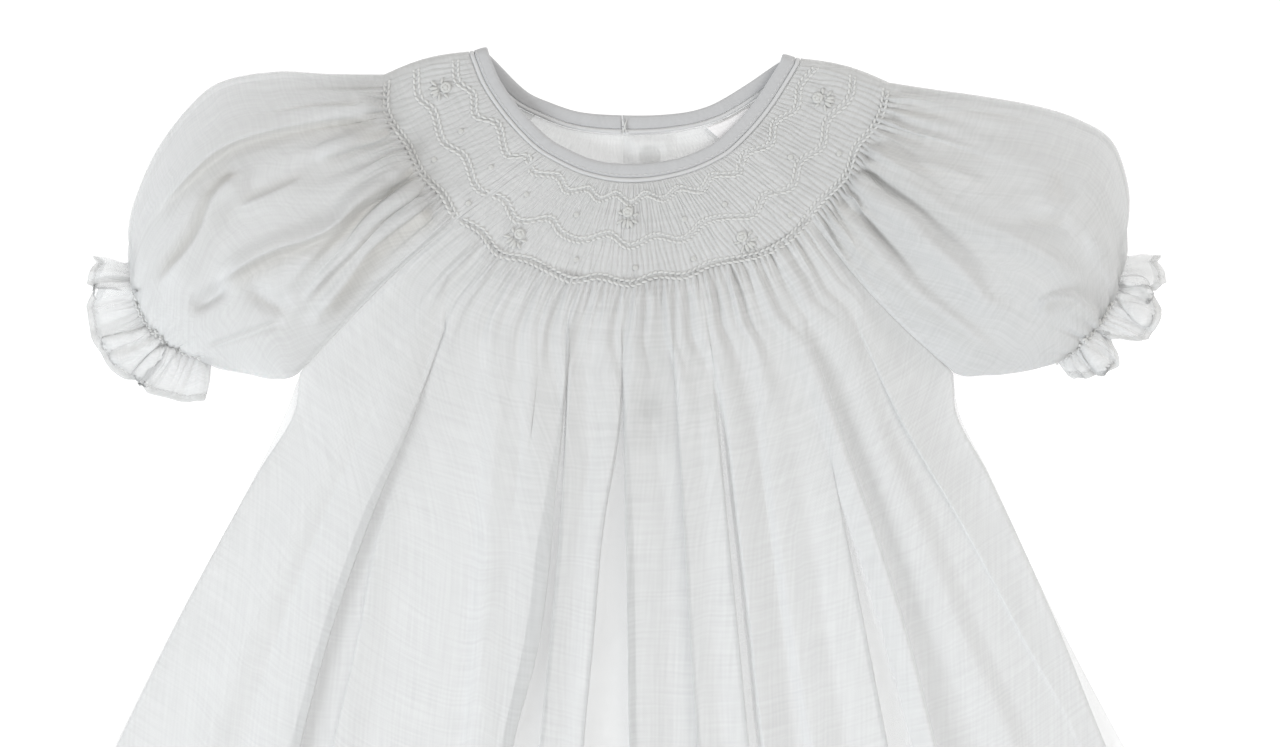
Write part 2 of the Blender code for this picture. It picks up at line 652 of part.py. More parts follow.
def sleeve_ring(sleeve, row, doubled, rise):
    """One ring of (outer, inner) points, from the front edge over the fold to the back edge."""
    times = 2 if doubled else 1
    tube = sleeve.tube(max(row, 0))
    inward = sleeve.seam_inward(row).to_3d()
    out = sleeve.out(row).to_3d()
    seam_turn = math.asin(SEAM / 2 / FOLD_RADIUS)
    ring = []

    seam_top = sleeve.upper(row, 0)
    lifted = seam_top - UP * FOLD_RADIUS
    for i in range(SEAM_COLUMNS * times):
        turn = mix(seam_turn, math.pi / 2, i / (SEAM_COLUMNS * times))
        round_normal = -inward * math.cos(turn) + UP * math.sin(turn)
        round_outer = lifted + inward * FOLD_RADIUS + round_normal * FOLD_RADIUS
        flat_outer = seam_top + inward * FOLD_RADIUS * i / (SEAM_COLUMNS * times)
        outer = mix(flat_outer, round_outer, tube)
        normal = mix(UP, round_normal, tube).normalized()
        ring.append((outer, normal))

    first_share = FOLD_RADIUS / (sleeve.plan(row, 1, False) - sleeve.plan(row, 0, False)).length
    spaces = (SLEEVE_PLEATS - SEAM_COLUMNS) * times
    for i in range(spaces):
        share = mix(first_share, 1, i / spaces)
        outer = sleeve.upper(row, share)
        side = sleeve.upper(row, min(share + 0.02, 1)) - sleeve.upper(row, share - 0.02)
        down = sleeve.upper(min(row + 0.01, 1), share) - sleeve.upper(max(row - 0.01, -1), share)
        normal = side.cross(down).normalized()
        normal = normal if normal.z > 0 else -normal
        ring.append((outer, mix(UP, normal, ease(i / spaces / 0.1)).normalized()))

    fold = sleeve.plan(row, 1, False).to_3d()
    for i in range(FOLD_COLUMNS * times):
        turn = mix(math.pi / 2, -math.pi / 2, i / (FOLD_COLUMNS * times))
        normal = out * math.cos(turn) + UP * math.sin(turn)
        ring.append((fold + UP * FOLD_RADIUS + normal * FOLD_RADIUS, normal))

    lower_inward = (sleeve.plan(row, 0.02, True) - sleeve.plan(row, 0, True)).normalized().to_3d()
    last_share = FOLD_RADIUS / (sleeve.plan(row, 1, True) - sleeve.plan(row, 0, True)).length
    for i in range(UNDER_COLUMNS * times):
        share = mix(1, last_share, i / (UNDER_COLUMNS * times))
        ring.append((sleeve.plan(row, share, True).to_3d(), -UP))

    seam_low = sleeve.plan(row, 0, True).to_3d()
    for i in range(SEAM_COLUMNS * times + 1):
        turn = mix(-math.pi / 2, -seam_turn, i / (SEAM_COLUMNS * times))
        round_normal = -lower_inward * math.cos(turn) + UP * math.sin(turn)
        round_outer = seam_low + UP * FOLD_RADIUS + lower_inward * FOLD_RADIUS + round_normal * FOLD_RADIUS
        flat_outer = seam_low + lower_inward * FOLD_RADIUS * (1 - i / (SEAM_COLUMNS * times))
        outer = mix(flat_outer, round_outer, tube)
        ring.append((outer, mix(-UP, round_normal, tube).normalized()))

    return [
        (outer + normal * rise(column), outer - normal * CLOTH)
        for column, (outer, normal) in enumerate(ring)
    ]


def sleeve_rows(sleeve):
    pleated = 2 * SLEEVE_PLEATS + FOLD_COLUMNS
    rows = []
    for depth in spread(SLEEVE_SMOCK_ROWS):
        rise = lambda column, depth=depth: pleat(column, depth) if column < pleated else 0.0
        rows.append(sleeve_ring(sleeve, depth - 1, True, rise))
    release = lambda column: RELEASE_RISE * pleat(column, 0) if column < pleated else 0.0
    rows.append(sleeve_ring(sleeve, UNDERARM_SECTION * RAGLAN_STEPS[0], True, release))
    cuff = sleeve.shares[-3]
    raglan = [UNDERARM_SECTION * step for step in RAGLAN_STEPS[1:]]
    body = raglan + [mix(UNDERARM_SECTION, cuff, i) for i in spread(SLEEVE_ROWS_TO_CUFF)[1:]]
    ruffle = [mix(cuff, 1, share) for share in spread(SLEEVE_ROWS_OF_RUFFLE)[1:]]
    for share in body + ruffle:
        fade = 1 - ease(share / 0.35)
        near_cuff = ease(1 - abs(share - cuff) / 0.12)
        height = GATHER_RISE_SLEEVE * max(fade, 0.6 * near_cuff)
        rise = lambda column, height=height: height * (column % 2) if 1 < column < SLEEVE_PLEATS else 0.0
        rows.append(sleeve_ring(sleeve, share, False, rise))
    return rows


# Neck binding and piping, which run round the whole neck and part at the back opening

def neck_stations():
    """(plan point, direction to the opening, outward normal, centre height) round the neck."""
    stations = []
    gap = Vector((NECK_OPENING, 0))
    centre = BACK_YOKE.knots[len(BACK_SPOKES) // 2]
    turns = [math.pi / 2 - math.pi * i / NECK_TURN_STEPS for i in range(1, NECK_TURN_STEPS)]
    last = NECK_BACK_STEPS

    def flat(yoke, place, normal, shift):
        stations.append((yoke.at(place, 0) + shift, yoke.to_neck(place), normal))

    def turned(place, side, order):
        shoulder = FRONT_YOKE.at(place, 0)
        to_neck = FRONT_YOKE.to_neck(place)
        out = Vector((-to_neck.y * side, to_neck.x * side)).to_3d()
        if out.y < 0:
            out = -out
        for turn in order:
            stations.append((shoulder, to_neck, out * math.cos(turn) + UP * math.sin(turn)))

    for i in range(last + 1):
        flat(BACK_YOKE, centre * (1 - i / last), -UP, -gap * (i == 0))
    turned(0.0, -1, reversed(turns))
    for place in spread(NECK_FRONT_STEPS):
        flat(FRONT_YOKE, place, UP, Vector((0, 0)))
    turned(1.0, 1, turns)
    for i in range(last + 1):
        flat(BACK_YOKE, mix(1, centre, i / last), -UP, gap * (i == last))
    return stations


def add_neck_strip(name, start, section, thickness, colour, roughness):
    """Sweep a section round the neck. Its points are (towards the opening, outward)."""
    points = []
    for plan, to_neck, normal in neck_stations():
        reach = FOLD_RADIUS - thickness / 2
        centre = plan.to_3d() + UP * FOLD_RADIUS + normal * reach
        for inward, outward in section:
            points.append(centre + to_neck.to_3d() * (start + inward) + normal * outward)
    sides = len(section)
    count = len(points) // sides
    faces = []
    for ring in range(count - 1):
        for side in range(sides):
            a = ring * sides + side
            b = ring * sides + (side + 1) % sides
            faces.append((a, b, b + sides, a + sides))
    faces.append(tuple(range(sides)))
    faces.append(tuple(range((count - 1) * sides, count * sides)))
    return add_object(name, points, faces, colour, roughness)


def add_button(name, x, y):
    """A flat shirt button on the outer side of the back, under the lap."""
    shell = bmesh.new()
    radius = BUTTON_DIAMETER / 2
    bmesh.ops.create_cone(
        shell, cap_ends=True, segments=20, radius1=radius * MM, radius2=radius * MM,
        depth=BUTTON_THICKNESS * MM,
    )
    caps = [face for face in shell.faces if abs(face.normal.z) > 0.9]
    bmesh.ops.inset_individual(shell, faces=caps, thickness=0.9 * MM, depth=-0.3 * MM)
    mesh = bpy.data.meshes.new(name)
    shell.to_mesh(mesh)
    shell.free()
    points = [v.co / MM + Vector((x, y, BUTTON_THICKNESS / 2)) for v in mesh.vertices]
    faces = [tuple(p.vertices) for p in mesh.polygons]
    bpy.data.meshes.remove(mesh)
    return add_object(name, points, faces, BUTTON, 0.25)


def build_dress():
    grid = back_grid()
    slit = {(row, BACK_LEFT_COLUMNS) for row in range(slit_rows(grid))}
    add_wall("back", back_rows(grid), COTTON, 0.85, slit)
    add_wall("back_lap", lap_rows(grid), COTTON, 0.85)
    add_wall("label", label_rows(), LABEL_CLOTH, 0.6)
    add_wall("front", front_rows(), COTTON, 0.85)

    left = Sleeve(
        LEFT_SLEEVE, FRONT_YOKE.knots[LEFT_RAGLAN], BACK_YOKE.knots[LEFT_BACK_SEAM],
        FRONT.left.raglan, BACK.left.raglan,
    )
    right = Sleeve(
        RIGHT_SLEEVE, FRONT_YOKE.knots[RIGHT_RAGLAN], BACK_YOKE.knots[RIGHT_BACK_SEAM],
        FRONT.right.raglan, BACK.right.raglan,
    )
    add_wall("sleeve_left", sleeve_rows(left), COTTON, 0.85)
    add_wall("sleeve_right", sleeve_rows(right), COTTON, 0.85)

    half = BINDING_THICKNESS / 2
    soft = 0.6
    band = (
        (0.0, 0.0), (soft, half), (BINDING_WIDTH - soft, half),
        (BINDING_WIDTH, 0.0), (BINDING_WIDTH - soft, -half), (soft, -half),
    )
    band_start = 2 * SEAM + PIPING_DIAMETER
    add_neck_strip("neck_binding", band_start, band, BINDING_THICKNESS, COTTON, 0.8)
    radius = PIPING_DIAMETER / 2
    circle = [math.tau * i / 6 for i in range(6)]
    cord = [(radius + radius * math.cos(a), radius * math.sin(a)) for a in circle]
    add_neck_strip("neck_piping", SEAM, cord, PIPING_DIAMETER, THREAD, 0.7)

    for number, y in enumerate(BUTTON_Y, 1):
        add_button(f"button_{number}", BUTTON_X, y)


for old in list(bpy.data.objects):
    bpy.data.objects.remove(old)
build_dress()
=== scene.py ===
# Looks of a baby dress of sheer white cotton, laid flat with its front up.
# Sizes and places are in millimetres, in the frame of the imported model: +X is to the
# right, +Y runs up to the neck, +Z is up, and the surface it lies on is at 0.
import json
import math
from collections import namedtuple

import bpy
import numpy as np
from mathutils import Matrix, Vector

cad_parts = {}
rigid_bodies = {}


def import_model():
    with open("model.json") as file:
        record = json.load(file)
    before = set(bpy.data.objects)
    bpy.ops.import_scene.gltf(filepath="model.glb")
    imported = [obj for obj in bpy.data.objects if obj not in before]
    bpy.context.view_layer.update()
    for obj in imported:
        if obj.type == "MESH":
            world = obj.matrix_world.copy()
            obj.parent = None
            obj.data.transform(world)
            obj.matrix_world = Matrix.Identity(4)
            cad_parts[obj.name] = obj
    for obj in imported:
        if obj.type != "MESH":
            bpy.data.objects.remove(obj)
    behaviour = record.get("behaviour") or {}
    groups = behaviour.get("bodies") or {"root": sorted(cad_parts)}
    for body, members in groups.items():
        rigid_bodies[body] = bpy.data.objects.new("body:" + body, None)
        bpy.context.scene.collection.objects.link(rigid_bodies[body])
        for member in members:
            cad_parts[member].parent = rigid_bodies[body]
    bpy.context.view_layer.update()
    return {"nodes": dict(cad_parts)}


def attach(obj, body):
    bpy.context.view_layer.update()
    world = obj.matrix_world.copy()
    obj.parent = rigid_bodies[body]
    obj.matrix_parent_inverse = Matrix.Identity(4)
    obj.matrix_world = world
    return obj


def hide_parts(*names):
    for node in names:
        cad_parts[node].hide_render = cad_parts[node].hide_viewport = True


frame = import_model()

MM = 0.001
UP = np.array((0.0, 0.0, 1.0))

# Cloth and seams, as in the solids
SHELL = 0.25  # thickness of the cloth's shell
SEAM = 0.3
SHOWN_SEAM = 0.03  # gap that is left open beside a sleeve
SHOULDER_BULGE = 1.7
FOLD_RADIUS = 3.0
YOKE_TOP = 2 * FOLD_RADIUS
UNDERARM_TOP = 3.0
SIDE_TOP = 2.6
SKIRT_TOP = 4.6
UNDERARM_SHARE = 0.2
UNDERARM_SECTION = 0.40
HEM_SAG_FRONT = 31.0
HEM_SAG_BACK = 29.0

# Smocking
FRONT_PLEATS = 66
SLEEVE_PLEATS = 27
PLEAT_COLUMNS = 8
SKIRT_COLUMNS = 420
PLEAT_RISE = 0.52
PLEAT_PINCH = 0.55
BACK_PLEAT_RISE = 0.2
CABLE_REACH = 0.05  # how far from its middle a cable presses the pleats down
STRAND_GAP = 0.056  # between the two strands of a cable, as a share of the yoke's depth
STRAND_SLANT = 0.008

# Gathers below the smocking: those of one pleat, of about two and of about five
GATHER_LENGTH, GATHER_LENGTH_SPREAD = 18, 10
WIDE_GATHER_PLEATS = 2.3
BROAD_GATHER_PLEATS = 5.1
GATHER_HEIGHTS = (1.1, 1.6, 1.5)
GATHER_LAYERS = (0.9, 0.55, 0.35)

# How many layers of cloth lie on each other, which sets how much light comes through; from
# two layers up, the colour is also darkened as painted shade
YOKE_LAYERS = 3.4
BACK_YOKE_LAYERS = 2.2
FRONT_LAYERS = 1.85
FRONT_HEM_LAYERS = 0.6
LEFT_SLEEVE_LAYERS = 2.0
RIGHT_SLEEVE_LAYERS = 2.5
RUFFLE_LAYERS = 1.4
RUFFLE_HEM_LAYERS = 1.6
SIDE_SEAM_LAYERS = 0.5
SLEEVE_SEAM_LAYERS = 0.3

# Cable rows from shoulder to shoulder: places along the yoke and depths below the neck
TOP_CABLE = (
    (0.0, 0.17), (0.036, 0.22), (0.062, 0.12), (0.103, 0.22), (0.130, 0.09), (0.189, 0.23),
    (0.210, 0.10), (0.245, 0.20), (0.283, 0.11), (0.324, 0.20), (0.366, 0.12), (0.410, 0.20),
    (0.452, 0.12), (0.497, 0.21), (0.540, 0.12), (0.585, 0.20), (0.636, 0.12), (0.680, 0.21),
    (0.725, 0.11), (0.765, 0.21), (0.805, 0.10), (0.845, 0.21), (0.885, 0.11), (0.925, 0.21),
    (0.962, 0.12), (1.0, 0.18),
)
MIDDLE_CABLE = (
    (0.0, 0.63), (0.041, 0.66), (0.066, 0.57), (0.118, 0.65), (0.150, 0.56), (0.208, 0.67),
    (0.250, 0.59), (0.291, 0.67), (0.331, 0.51), (0.367, 0.61), (0.406, 0.64), (0.457, 0.53),
    (0.496, 0.65), (0.548, 0.56), (0.595, 0.65), (0.645, 0.53), (0.685, 0.55), (0.725, 0.65),
    (0.765, 0.55), (0.805, 0.65), (0.845, 0.55), (0.885, 0.65), (0.925, 0.56), (0.965, 0.65),
    (1.0, 0.60),
)
LOWER_CABLE = (
    (0.0, 0.99), (0.039, 1.03), (0.092, 0.97), (0.144, 1.01), (0.184, 0.96), (0.225, 1.02),
    (0.265, 0.96), (0.305, 1.02), (0.345, 0.96), (0.382, 1.0), (0.419, 1.05), (0.454, 0.97),
    (0.500, 1.03), (0.540, 0.96), (0.580, 1.02), (0.620, 0.96), (0.660, 1.0), (0.694, 1.04),
    (0.744, 1.04), (0.806, 0.95), (0.866, 1.01), (0.905, 0.96), (0.945, 1.02), (1.0, 0.99),
)
CABLES = (TOP_CABLE, MIDDLE_CABLE, LOWER_CABLE)

# Small embroidery: places along the yoke and depths below the neck. The coils of a rose
# and of a knot are turns round its middle, and leaves are (turn, distance, length).
BUDS = ((0.036, 0.42), (0.309, 0.82), (0.491, 0.36), (0.686, 0.86), (0.955, 0.41))
KNOTS = (
    (0.115, 0.44), (0.136, 0.83), (0.191, 0.43), (0.220, 0.84), (0.269, 0.42), (0.376, 0.40),
    (0.413, 0.84), (0.508, 0.87), (0.600, 0.87), (0.613, 0.45), (0.701, 0.43), (0.765, 0.86),
    (0.843, 0.45), (0.885, 0.84),
)
ROSE_LIFT = 0.2
KNOT_LIFT = 0.05
ROSE_COILS = (0.2, 1.4, 2.7, 3.9, 5.1)
LOWER_COILS = ((-1.1, 3.0), (0.3, 3.6), (1.4, 2.7))  # sideways shift and length
LEAVES = ((1.15, 3.0, 2.6), (-1.05, 3.1, 2.8), (2.0, 3.2, 2.2), (-2.1, 3.1, 2.2))
KNOT_COILS = (0.3, 1.6, 2.8, 4.0, 5.2)

# Machine stitches: distance from one to the next, length and width of each, and how
# deep the hems are that they hold
SKIRT_HEM_STITCHES = (2.6, 1.9, 0.35)
RUFFLE_HEM_STITCHES = (1.7, 1.2, 0.3)
BINDING_STITCHES = (2.1, 1.5, 0.34)
SKIRT_HEM = 25.0
RUFFLE_HEM = 2.6
CUFF_STITCHES = 34
THREAD_MARK = np.array((-1.2, 181.0, 2.2))

# Back opening
SLIT_X = -2.0
SLIT_END_Y = 64.0
LAP_WIDTH = 20.0
LAP_RAISE = 1.9
LAP_BOTTOM = 2.1

# Neck edge
BINDING_WIDTH = 5.0
BINDING_THICKNESS = 1.6
PIPING_DIAMETER = 1.3
CORD_DIAMETER = 1.75  # of the same piping, as its cloth shows
SHOULDER_STATION = 47  # of the neck's stations, where it turns over the left shoulder
NECK_OPENING = 0.12
LABEL_DEPTH = 13.0
LABEL_REACH = 0.055
NECK_LIFT = 0.35  # of the band and cord over the cloth in front

# The neck and the lower edge of the yoke, one row for each line of pleats
Spoke = namedtuple("Spoke", "place neck_x neck_y yoke_x yoke_y")

FRONT_SPOKES = (
    Spoke("left shoulder fold", -57.2, 205.5, -87.9, 197.1),
    Spoke("left sleeve top", -53.0, 195.5, -86.0, 183.5),
    Spoke("left sleeve front", -45.5, 184.5, -77.5, 168.5),
    Spoke("left sleeve seam side", -37.0, 175.2, -68.8, 156.0),
    Spoke("left raglan seam", -30.8, 170.3, -61.0, 147.8),
    Spoke("left front", -16.4, 163.3, -41.6, 132.9),
    Spoke("centre front", 1.2, 160.4, 0.0, 124.8),
    Spoke("right front", 20.4, 163.3, 42.7, 133.6),
    Spoke("right raglan seam", 35.6, 170.0, 66.0, 147.5),
    Spoke("right sleeve seam side", 44.8, 178.2, 76.7, 159.5),
    Spoke("right sleeve front", 52.8, 188.0, 85.0, 174.5),
    Spoke("right sleeve top", 58.6, 197.0, 91.6, 186.0),
    Spoke("right shoulder fold", 62.2, 203.0, 94.1, 194.3),
)
LEFT_RAGLAN, RIGHT_RAGLAN = 4, 8

BACK_SPOKES = (
    Spoke("left shoulder fold", -57.2, 205.5, -87.9, 197.1),
    Spoke("left sleeve back", -43.5, 190.9, -80.0, 168.0),
    Spoke("left back seam", -34.0, 185.3, -66.0, 152.0),
    Spoke("left back", -20.0, 180.2, -38.0, 143.5),
    Spoke("centre back", -1.8, 178.4, 0.0, 140.5),
    Spoke("right back", 18.0, 179.6, 38.0, 143.5),
    Spoke("right back seam", 34.5, 184.0, 70.0, 152.0),
    Spoke("right sleeve back", 48.3, 192.2, 84.0, 168.0),
    Spoke("right shoulder fold", 62.2, 203.0, 94.1, 194.3),
)
LEFT_BACK_SEAM, RIGHT_BACK_SEAM = 2, 6

# Seams down the sides, from the yoke to the underarm and from there to the hem
LEFT_FRONT_RAGLAN = ((-61.0, 147.8), (-83.2, 128.8), (-105.1, 107.0), (-119.5, 91.6))
RIGHT_FRONT_RAGLAN = ((66.0, 147.5), (82.0, 127.0), (98.9, 109.1), (118.5, 91.6))
LEFT_BACK_RAGLAN = ((-66.0, 152.0), (-86.0, 130.5), (-106.8, 108.0), (-119.5, 91.6))
RIGHT_BACK_RAGLAN = ((70.0, 152.0), (84.5, 130.0), (101.0, 109.5), (118.5, 91.6))
LEFT_FRONT_SIDE = (
    (-119.5, 91.6), (-121.8, 76.0), (-134.7, 55.1), (-163.2, 2.6), (-186.5, -44.9), (-251.0, -181.0),
)
RIGHT_FRONT_SIDE = (
    (118.5, 91.6), (119.8, 76.0), (131.0, 55.1), (155.1, 2.6), (174.5, -45.3), (236.0, -184.0),
)
LEFT_BACK_SIDE = (
    (-119.5, 91.6), (-124.4, 78.0), (-135.4, 55.1), (-163.8, 2.6), (-187.4, -44.9), (-253.5, -180.0),
)
RIGHT_BACK_SIDE = (
    (118.5, 91.6), (121.0, 76.0), (131.6, 55.1), (156.0, 2.6), (181.0, -44.9), (255.5, -180.0),
)

# Folds of the skirt: where the edge runs at six heights, the widths of its gentle and
# steep sides, how far it leans over (to the right above 0, to the left below), its height
# and how far down from the yoke it starts
Fold = namedtuple("Fold", "place x_107 x_73 x_36 x_m4 x_m45 x_hem gentle steep lean height start")
FOLD_LEVELS = (107.0, 73.0, 36.0, -4.0, -45.0, -207.0)

FOLDS = (
    Fold("left side, soft", -85.0, -101.0, -120.0, -138.0, -154.0, -207.0, 16.0, 14.0, 0.5, 3.0, 0.10),
    Fold("left, crisp edge", -67.5, -79.0, -94.0, -108.0, -119.0, -158.0, 15.0, 3.5, 7.0, 5.0, 0.02),
    Fold("beside it, thin", -64.0, -75.5, -89.5, -97.5, -107.0, -143.0, 9.0, 4.0, -3.0, 2.4, 0.18),
    Fold("left middle, soft", -45.0, -47.0, -50.0, -52.0, -55.0, -69.0, 13.0, 9.0, -1.5, 4.0, 0.05),
    Fold("small, splits off", -33.5, -36.0, -36.0, -40.0, -47.0, -66.0, 5.0, 4.0, 0.8, 1.6, 0.02),
    Fold("left of first trough", -22.9, -24.1, -27.6, -32.5, -41.5, -62.0, 12.0, 3.5, 8.0, 4.5, 0.02),
    Fold("right of first trough", -20.2, -22.0, -24.6, -28.0, -32.0, -48.0, 8.0, 3.0, -4.0, 4.0, 0.02),
    Fold("left of second trough", -2.9, -3.8, -9.0, -12.4, -16.2, -27.0, 7.0, 3.0, 4.0, 4.0, 0.02),
    Fold("right of second trough", -1.4, -0.8, -0.5, 0.0, 0.6, 4.0, 10.0, 3.5, -6.0, 4.0, 0.02),
    Fold("thin crest", 17.8, 18.6, 20.4, 22.6, 25.5, 41.0, 9.0, 3.0, -4.0, 3.6, 0.02),
    Fold("left of the narrow trough", 28.5, 32.0, 36.0, 40.0, 44.0, 62.0, 8.0, 3.0, 4.0, 3.6, 0.05),
    Fold("right of the narrow trough", 31.0, 36.5, 40.5, 45.0, 49.5, 74.0, 10.0, 4.0, -2.5, 4.2, 0.02),
    Fold("right, soft", 46.7, 50.0, 55.0, 61.0, 68.0, 99.0, 11.0, 7.0, -2.0, 3.0, 0.05),
    Fold("before the strongest", 59.5, 70.5, 78.5, 86.5, 94.5, 128.0, 12.0, 3.0, 4.0, 3.0, 0.10),
    Fold("right, the strongest", 63.0, 74.5, 88.0, 100.5, 111.0, 152.0, 8.0, 5.5, 3.0, 6.5, 0.02),
    Fold("right, second soft", 78.0, 89.0, 105.0, 121.0, 139.0, 183.0, 13.0, 10.0, 1.0, 3.0, 0.05),
    Fold("right side, thin edge", 84.5, 100.0, 121.0, 142.0, 163.0, 212.0, 12.0, 3.0, -3.0, 3.0, 0.02),
)
# Troughs that stay open between two of the folds, counted from 0. The cloth there is
# clearer than a single layer, because the table shines through it.
TROUGHS = ((5, 6), (7, 8), (10, 11), (13, 14))
TROUGH_LAYERS = 0.6

# The sleeves, one row for each section from the yoke to the hem of the cuff's ruffle
Section = namedtuple("Section", "share seam_x seam_y fold_x fold_y puff bow ruffle")

LEFT_SLEEVE = (
    Section(0.00, -61.0, 147.8, -88.7, 200.0, 0.0, 0.0, 0.0),
    Section(0.14, -83.2, 128.8, -109.5, 200.3, 8.0, 0.0, 0.0),
    Section(0.27, -101.0, 111.2, -128.1, 201.1, 14.0, 0.0, 0.0),
    Section(0.40, -119.5, 91.6, -147.8, 197.5, 19.0, 0.0, 0.0),
    Section(0.50, -128.8, 89.1, -159.1, 189.1, 21.0, 1.0, 0.0),
    Section(0.60, -138.0, 90.9, -171.6, 172.6, 20.0, 3.0, 0.0),
    Section(0.69, -146.0, 93.4, -179.6, 154.4, 16.0, 5.5, 0.0),
    Section(0.76, -150.0, 95.3, -182.1, 142.7, 11.0, 7.5, 0.0),
    Section(0.82, -151.5, 96.0, -181.4, 132.1, 5.5, 8.5, 0.0),
    Section(0.91, -152.5, 87.5, -190.5, 133.5, 5.0, 13.5, 0.6),
    Section(1.00, -154.4, 79.9, -197.1, 134.3, 5.5, 17.5, 1.0),
)
RIGHT_SLEEVE = (
    Section(0.00, 66.0, 147.5, 94.9, 197.1, 0.0, 0.0, 0.0),
    Section(0.14, 82.0, 127.0, 112.0, 194.5, 8.0, 0.0, 0.0),
    Section(0.27, 98.9, 109.1, 130.0, 192.0, 14.0, 0.0, 0.0),
    Section(0.40, 118.5, 91.6, 150.0, 188.3, 19.0, 0.0, 0.0),
    Section(0.50, 130.3, 90.4, 164.5, 183.5, 21.0, 0.5, 0.0),
    Section(0.60, 141.0, 91.3, 176.5, 175.5, 20.0, 1.5, 0.0),
    Section(0.69, 149.5, 93.0, 182.2, 159.5, 16.0, 3.0, 0.0),
    Section(0.76, 154.0, 94.8, 182.3, 146.5, 11.0, 4.5, 0.0),
    Section(0.82, 156.0, 95.5, 179.8, 135.1, 5.5, 5.0, 0.0),
    Section(0.91, 159.5, 91.5, 189.0, 134.6, 5.0, 8.5, 0.6),
    Section(1.00, 162.0, 88.5, 196.4, 134.0, 5.5, 12.0, 1.0),
)
CUFF = 0.82
RUFFLE_WAVES = 5
RUFFLE_RISE = 0.8
RUFFLE_SCALLOP = 0.3
FLUTE_RISE = 2.4
RUFFLE_CORNER = 2.2  # how far the corners of a ruffle are rounded back
CREASE_DEPTH = 2.1

# Steps by which the corner at the underarm is rounded off for the cloth above it
CORNER_STEPS = np.linspace(-0.14, 0.14, 9)

# Notches between the flutes of each ruffle: place, half width and depth at the hem
LEFT_NOTCHES = ((0.30, 0.07, 4.0), (0.86, 0.05, 5.0))
RIGHT_NOTCHES = ((0.38, 0.13, 12.0), (0.80, 0.08, 7.0))

# Creases of the sleeves, each along a line of points. Rise above 0 is a ridge, below 0 a
# trough, with widths to the left and right of the line's direction. Where the cloth is
# folded over, it is denser along the right side and painted darker there as shade, and
# each crease fades at both ends.
Crease = namedtuple("Crease", "place rise left right folded reach fade_in fade_out points")

LEFT_CREASES = (
    Crease("edge of the upper fold", 2.0, 5.0, 1.7, 0.6, 9.0, 0.3, 0.06, (
        (-176.9, 142.3), (-165.0, 155.2), (-158.0, 162.2), (-150.1, 169.6), (-142.1, 174.6),
        (-132.2, 178.1), (-117.3, 181.6), (-102.4, 184.1), (-89.9, 184.8),
    )),
    Crease("thin, near the top", 0.8, 2.5, 1.5, 0.35, 3.5, 0.4, 0.1, (
        (-140.1, 183.6), (-126.2, 186.6), (-112.3, 188.8), (-96.4, 188.8),
    )),
    Crease("short ridge by the yoke", 1.4, 2.5, 2.5, 0.4, 7.0, 0.35, 0.05, (
        (-114.3, 167.2), (-106.3, 172.1), (-97.4, 177.1), (-87.4, 180.6),
    )),
    Crease("middle arc", 1.0, 4.0, 1.5, 0.3, 5.0, 0.35, 0.35, (
        (-113.3, 164.2), (-119.3, 159.4), (-128.2, 155.0), (-136.2, 151.5), (-142.1, 147.8),
    )),
    Crease("wedge", 2.4, 6.0, 2.0, 0.85, 8.0, 0.1, 0.25, (
        (-138.2, 162.2), (-144.1, 157.2), (-148.1, 152.2), (-152.1, 142.3), (-157.1, 134.3),
        (-164.5, 125.9), (-169.5, 120.5),
    )),
    Crease("main ridge", 2.6, 4.5, 1.6, 0.75, 8.0, 0.15, 0.04, (
        (-148.1, 122.9), (-138.2, 129.4), (-126.2, 135.8), (-114.3, 139.8), (-104.3, 145.3),
        (-96.4, 153.7), (-88.4, 160.2), (-78.5, 167.2),
    )),
    Crease("edge under it", 1.2, 3.0, 1.5, 0.35, 5.0, 0.35, 0.1, (
        (-125.2, 119.4), (-119.3, 127.4), (-110.3, 137.3), (-102.4, 145.3), (-94.4, 153.2),
        (-84.5, 159.2),
    )),
    Crease("fine ridge", 1.6, 1.6, 1.6, 0.45, 4.5, 0.25, 0.04, (
        (-119.3, 114.5), (-109.3, 126.4), (-101.4, 134.3), (-94.4, 143.3), (-84.5, 153.2),
        (-75.0, 160.5),
    )),
    Crease("broad ridge by the seam", 2.0, 3.0, 3.0, 0.8, 8.5, 0.25, 0.06, (
        (-117.3, 107.5), (-106.3, 119.4), (-98.4, 129.4), (-91.4, 137.8), (-82.5, 145.3),
        (-72.5, 152.2),
    )),
    Crease("lower dent", -2.2, 3.0, 3.0, 0.35, 4.0, 0.35, 0.35, (
        (-158.0, 113.5), (-150.1, 117.9), (-142.1, 123.9),
    )),
    Crease("beside the lower dome", -1.4, 4.0, 4.0, 0.3, 5.0, 0.35, 0.35, (
        (-137.2, 124.4), (-132.2, 119.4), (-126.2, 116.0), (-119.3, 114.5),
    )),
    Crease("crease by the cuff", -0.9, 1.6, 1.6, 0.35, 2.0, 0.2, 0.2, (
        (-122.2, 110.3), (-132.2, 107.0), (-142.1, 103.5), (-153.1, 100.3),
    )),
    Crease("ruffle, upper edge", 1.4, 3.0, 0.9, 0.35, 3.5, 0.1, 0.01, (
        (-176.9, 121.9), (-183.9, 122.9), (-192.4, 122.2),
    )),
    Crease("ruffle, middle", 0.9, 3.0, 0.9, 0.35, 5.0, 0.1, 0.01, (
        (-173.0, 106.5), (-180.9, 104.5), (-189.4, 102.3),
    )),
    Crease("ruffle, next", 0.9, 1.2, 3.0, 0.35, 3.5, 0.1, 0.01, (
        (-168.0, 104.0), (-175.9, 99.5), (-184.9, 95.6),
    )),
    Crease("ruffle, lower edge", 1.6, 3.5, 0.9, 0.35, 3.5, 0.1, 0.01, (
        (-163.5, 99.5), (-170.0, 98.5), (-177.9, 90.6),
    )),
)
